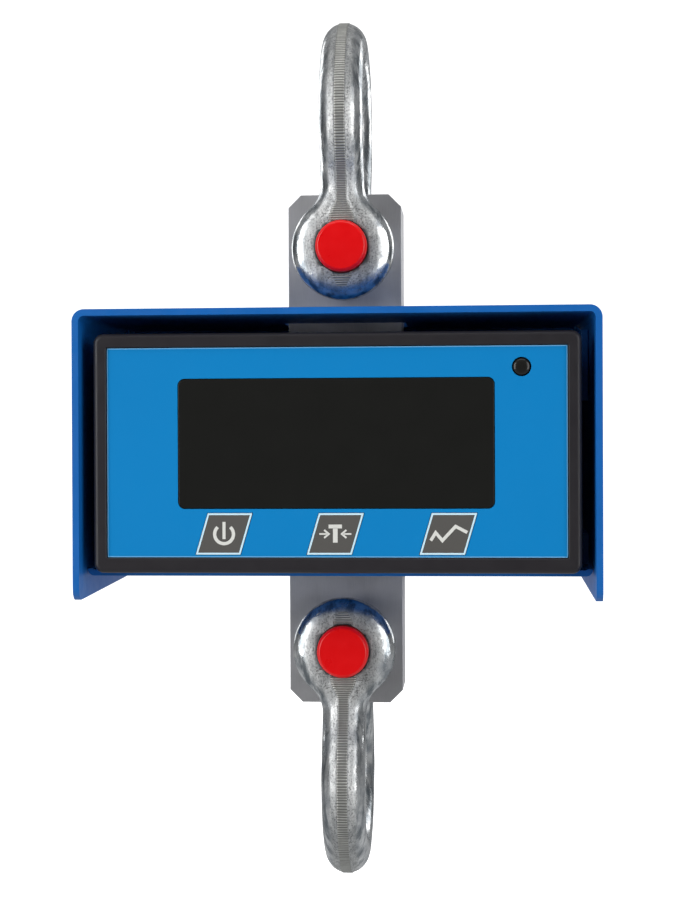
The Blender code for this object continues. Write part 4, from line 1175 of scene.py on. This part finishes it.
def make_rear_shell():
    """Tub with a rim and two feet, and shallow grooves across its back."""
    low, high = corners("rear_shell")
    unit = middle("front_frame")
    gland, socket = middle("lead_gland"), middle("charge_socket")
    rim_h, rim_t = SHELL_RIM
    rim_hole_r, gland_hole_r, jack_r, head_seat_r = 1.8 * MM, 6.3 * MM, 4.3 * MM, 3.1 * MM
    rim = rectangle(high.x - low.x, rim_h, 3 * MM, (0, unit.z), 6)
    shell = prism("rear_shell_moulding", rim, low.y, low.y + rim_t, LOOKS["black"])
    width, height = SHELL
    floor_z = unit.z - height / 2
    solids = [prism("box", rectangle(*SHELL, 1.7 * MM, (0, unit.z), 5), low.y, high.y)]
    feet = [middle("foot_screw_" + side) for side in SIDES]
    for foot in feet:
        outline = rectangle(*FOOT, 1.5 * MM, (foot.x, foot.y), 4)
        solids.append(upright_block(outline, low.z, floor_z + MM))
    carve(shell, *solids, how="UNION")
    inner = (width - 2 * SHELL_WALL, height - 2 * SHELL_WALL)
    cavity = rectangle(*inner, 1.0 * MM, (0, unit.z), 3)
    cutters = [prism("cavity", cavity, low.y - MM, high.y - SHELL_WALL)]
    for foot in feet:
        cutters.append(drill(foot, low.z - MM, low.z + 9 * MM, SCREW_HOLE_R, "Z"))
    for number in CASE_SCREWS:
        screw = middle(f"rim_screw_{number}")
        cutters.append(drill(screw, low.y - MM, low.y + 4 * MM, rim_hole_r))
    cutters.append(drill(gland, high.y - 6 * MM, high.y + MM, gland_hole_r, sides=40))
    cutters.append(drill(socket, floor_z - MM, floor_z + 5 * MM, jack_r, "Z", 40))
    for number in CASE_SCREWS:
        screw = middle(f"case_screw_{number}")
        cutters.append(drill(screw, high.y - GAP, high.y + MM, head_seat_r))
    groove_pitch, groove_size, clear_of_gland = 14 * MM, (2 * MM, 60 * MM), 12 * MM
    for i in range(-4, 5):
        x = i * groove_pitch
        if abs(x - gland.x) > clear_of_gland:
            groove = rectangle(*groove_size, 0.99 * MM, (x, unit.z), 4)
            cutters.append(prism("groove", groove, high.y - 0.8 * MM, high.y + MM))
    carve(shell, *cutters)
    soften(shell, 0.4 * MM, 2, 45)
    stand_in(shell, SCALE_BODY, "black_case", "rear_shell")


def make_case_screw(node):
    """Pan-head screw with a cross slot, from behind."""
    low, high, spot = whole_box(node)
    top = high.y
    profile = [
        (low.y, TINY),
        (low.y, 0.9 * MM),
        (low.y + MM, CASE_SCREW_R),
        (top - 1.8 * MM, CASE_SCREW_R),
        (top - 1.8 * MM, 2.7 * MM),
        (top - 0.8 * MM, 2.6 * MM),
        (top - 0.2 * MM, 1.9 * MM),
        (top, 1.2 * MM),
        (top, TINY),
    ]
    screw = turned(node + "_pan", profile, spot, LOOKS["steel"], sides=40)
    slots = cross(3.2 * MM, 0.6 * MM, (spot.x, spot.z))
    carve(screw, *[prism("cross", slot, top - 0.9 * MM, top + MM) for slot in slots])
    stand_in(screw, SCALE_BODY, "screw_steel", node)


def make_gland():
    """Cable gland: a turned body whose nut has twelve grip notches."""
    low, high, gland = whole_box("lead_gland")
    bore_r = 2.8 * MM
    seat, nut_r = high.y - 8 * MM, 8.5 * MM
    profile = [
        (low.y, bore_r),
        (low.y, 6.0 * MM),
        (seat, 6.0 * MM),
        (seat, nut_r),
        (seat + 3.6 * MM, nut_r),
        (seat + 3.6 * MM, 7.2 * MM),
        (seat + 6.4 * MM, 7.0 * MM),
        (high.y, 5.0 * MM),
        (high.y, bore_r),
    ]
    body = turned("gland_body", rounded(profile, 0.4 * MM, 3), gland, LOOKS["dark"], sides=72)
    notches = [drill(gland, low.y - MM, high.y + MM, bore_r, sides=40)]
    for i in range(12):
        angle = math.pi / 6 * i
        reach = nut_r + 0.4 * MM
        spot_at = (gland.x + reach * math.cos(angle), 0, gland.z + reach * math.sin(angle))
        notches.append(drill(spot_at, seat + 0.6 * MM, seat + 5 * MM, 0.7 * MM, sides=12))
    carve(body, *notches)
    stand_in(body, SCALE_BODY, "dark_plastic", "lead_gland")


def make_charge_jack():
    low, high, socket = whole_box("charge_socket")
    bore_r, body_r, flange_r, flange_t = 2.6 * MM, 4.0 * MM, 6.0 * MM, 0.9 * MM
    profile = [
        (low.z, bore_r),
        (low.z, flange_r),
        (low.z + flange_t, flange_r),
        (low.z + flange_t, body_r),
        (high.z, body_r),
        (high.z, TINY),
    ]
    profile = rounded(profile, 0.3 * MM, 3)
    ring = turned("charge_jack", profile, socket, LOOKS["dark"], axis="Z", sides=48)
    carve(ring, drill(socket, low.z - MM, low.z + 8 * MM, bore_r, "Z"))
    stand_in(ring, SCALE_BODY, "dark_plastic", "charge_socket")


def make_rear_case():
    make_rear_shell()
    for kind in ("case_screw", "rim_screw"):
        for number in CASE_SCREWS:
            make_case_screw(f"{kind}_{number}")
    make_gland()
    make_charge_jack()


def dress_inner_nodes():
    """Give the CAD nodes that stay their procedural materials."""
    looks = {
        "strain_gauge_front": "foil",
        "strain_gauge_rear": "foil",
        "cell_lead": "rubber",
        "case_gasket": "rubber",
        "display_module": "dark",
        "main_board": "board",
        "ir_receiver": "dark",
        "battery_pack": "battery",
        "battery_clip": "steel",
    }
    looks.update({name + "_switch": "dark" for name in KEYS})
    for node, look in looks.items():
        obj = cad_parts[node]
        for material_slot in obj.material_slots:
            material_slot.material = LOOKS[look]


# Camera, light and floor

def make_camera():
    """The viewing place: a little right of the centre line, level with the display unit."""
    data = bpy.data.cameras.new("camera")
    data.sensor_width = 36.0
    data.lens = 70.36
    data.clip_start = 0.05
    data.clip_end = 30.0
    camera = bpy.data.objects.new("camera", data)
    camera.location = (55.3 * MM, -780.4 * MM, CELL_MID.z + 4.4 * MM)
    yaw, pitch, roll = math.radians(4.39), math.radians(-0.37), math.radians(0.23)
    turn = Matrix.Rotation(yaw, 3, "Z") @ Matrix.Rotation(pitch, 3, "X")
    turn = turn @ Matrix.Rotation(roll, 3, "Y")
    camera.rotation_euler = (turn @ Euler((math.pi / 2, 0, 0)).to_matrix()).to_euler()
    bpy.context.scene.collection.objects.link(camera)
    bpy.context.scene.camera = camera


def area_light(name, place, target, size, power):
    data = bpy.data.lights.new(name, "AREA")
    data.shape = "RECTANGLE"
    data.size, data.size_y = size
    data.energy = power
    light = bpy.data.objects.new(name, data)
    light.location = place
    aim = Vector(target) - Vector(place)
    light.rotation_euler = aim.to_track_quat("-Z", "Y").to_euler()
    light.visible_camera = False
    bpy.context.scene.collection.objects.link(light)


WORLD_RAMPS = (
    ("Y", -0.97, -0.45, 0.08, 0.30),
    ("Z", -0.3, 0.8, 0.75, 1.35),
    ("Z", -0.45, 0.04, 2.5, 1.0),
)


def make_world():
    """Soft room light: dim behind the camera, brighter at the sides and above, and brightest
    below.
    """
    world = bpy.data.worlds.new("studio")
    bpy.context.scene.world = world
    nodes = NodeTree(world)
    background = nodes.tree.nodes["Background"]
    place = nodes.add("ShaderNodeTexCoord").outputs["Generated"]
    split = nodes.add("ShaderNodeSeparateXYZ", Vector=place)
    strength = 1.0
    for axis, *ramp in WORLD_RAMPS:
        share = nodes.spread(split.outputs[axis], *ramp)
        share.node.interpolation_type = "SMOOTHSTEP"
        strength = nodes.math("MULTIPLY", strength, share)
    nodes.feed(background.inputs["Strength"], strength)
    background.inputs["Color"].default_value = (0.96, 0.98, 1.0, 1.0)


def make_floor():
    """Pale round floor that curves up all around."""
    floor_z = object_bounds()[0][2] - 45 * MM
    flat, bend, rim_height, sides = 2.4, 0.8, 3.5, 96
    profile = [(floor_z, 0.01), (floor_z, flat)]
    for i in range(1, 13):
        angle = math.pi / 2 * i / 12
        profile.append((floor_z + bend * (1 - math.cos(angle)), flat + bend * math.sin(angle)))
    profile.append((floor_z + rim_height, flat + bend))
    look = Look("studio_floor")
    tone = look.mix(look.noise(0.5), (0.93, 0.93, 0.93), (0.96, 0.96, 0.96))
    look.shader.inputs["Emission Color"].default_value = (1.0, 1.0, 1.0, 1.0)
    look.shader.inputs["Emission Strength"].default_value = 0.75
    turns = [2 * math.pi * i / sides for i in range(sides)]
    bm = loft([[(r * math.cos(t), r * math.sin(t), z) for t in turns] for z, r in profile])
    bm.faces.ensure_lookup_table()
    bm.faces.remove(bm.faces[-1])
    floor = mesh_object("studio_floor", bm, look.done(tone, 0.8))
    floor.visible_glossy = False
    floor.visible_diffuse = False
    floor.visible_shadow = False


def make_studio():
    make_world()
    make_floor()
    centre = Vector((0, 0, CELL_MID.z))
    boxes = {
        "left_box": ((-1.70, -1.25, 0.30), (1.0, 1.8), 34.0),
        "right_box": ((1.75, -1.15, 0.25), (1.2, 1.8), 26.0),
        "top_box": ((0.0, -0.5, 1.8), (1.8, 1.2), 12.0),
        "rear_left_box": ((-1.3, 1.5, 0.5), (1.0, 1.2), 9.0),
        "rear_right_box": ((1.3, 1.5, 0.5), (1.0, 1.2), 9.0),
    }
    for name, (place, size, power) in boxes.items():
        area_light(name, centre + Vector(place), centre, size, power)


make_shackles()
make_load_cell()
make_sheet_metal()
make_frame()
make_overlay()
make_window()
make_receiver_lens()
make_keys()
make_rear_case()
dress_inner_nodes()
make_studio()
make_camera()
bpy.context.scene.view_settings.view_transform = "Standard"

bpy.context.view_layer.update()
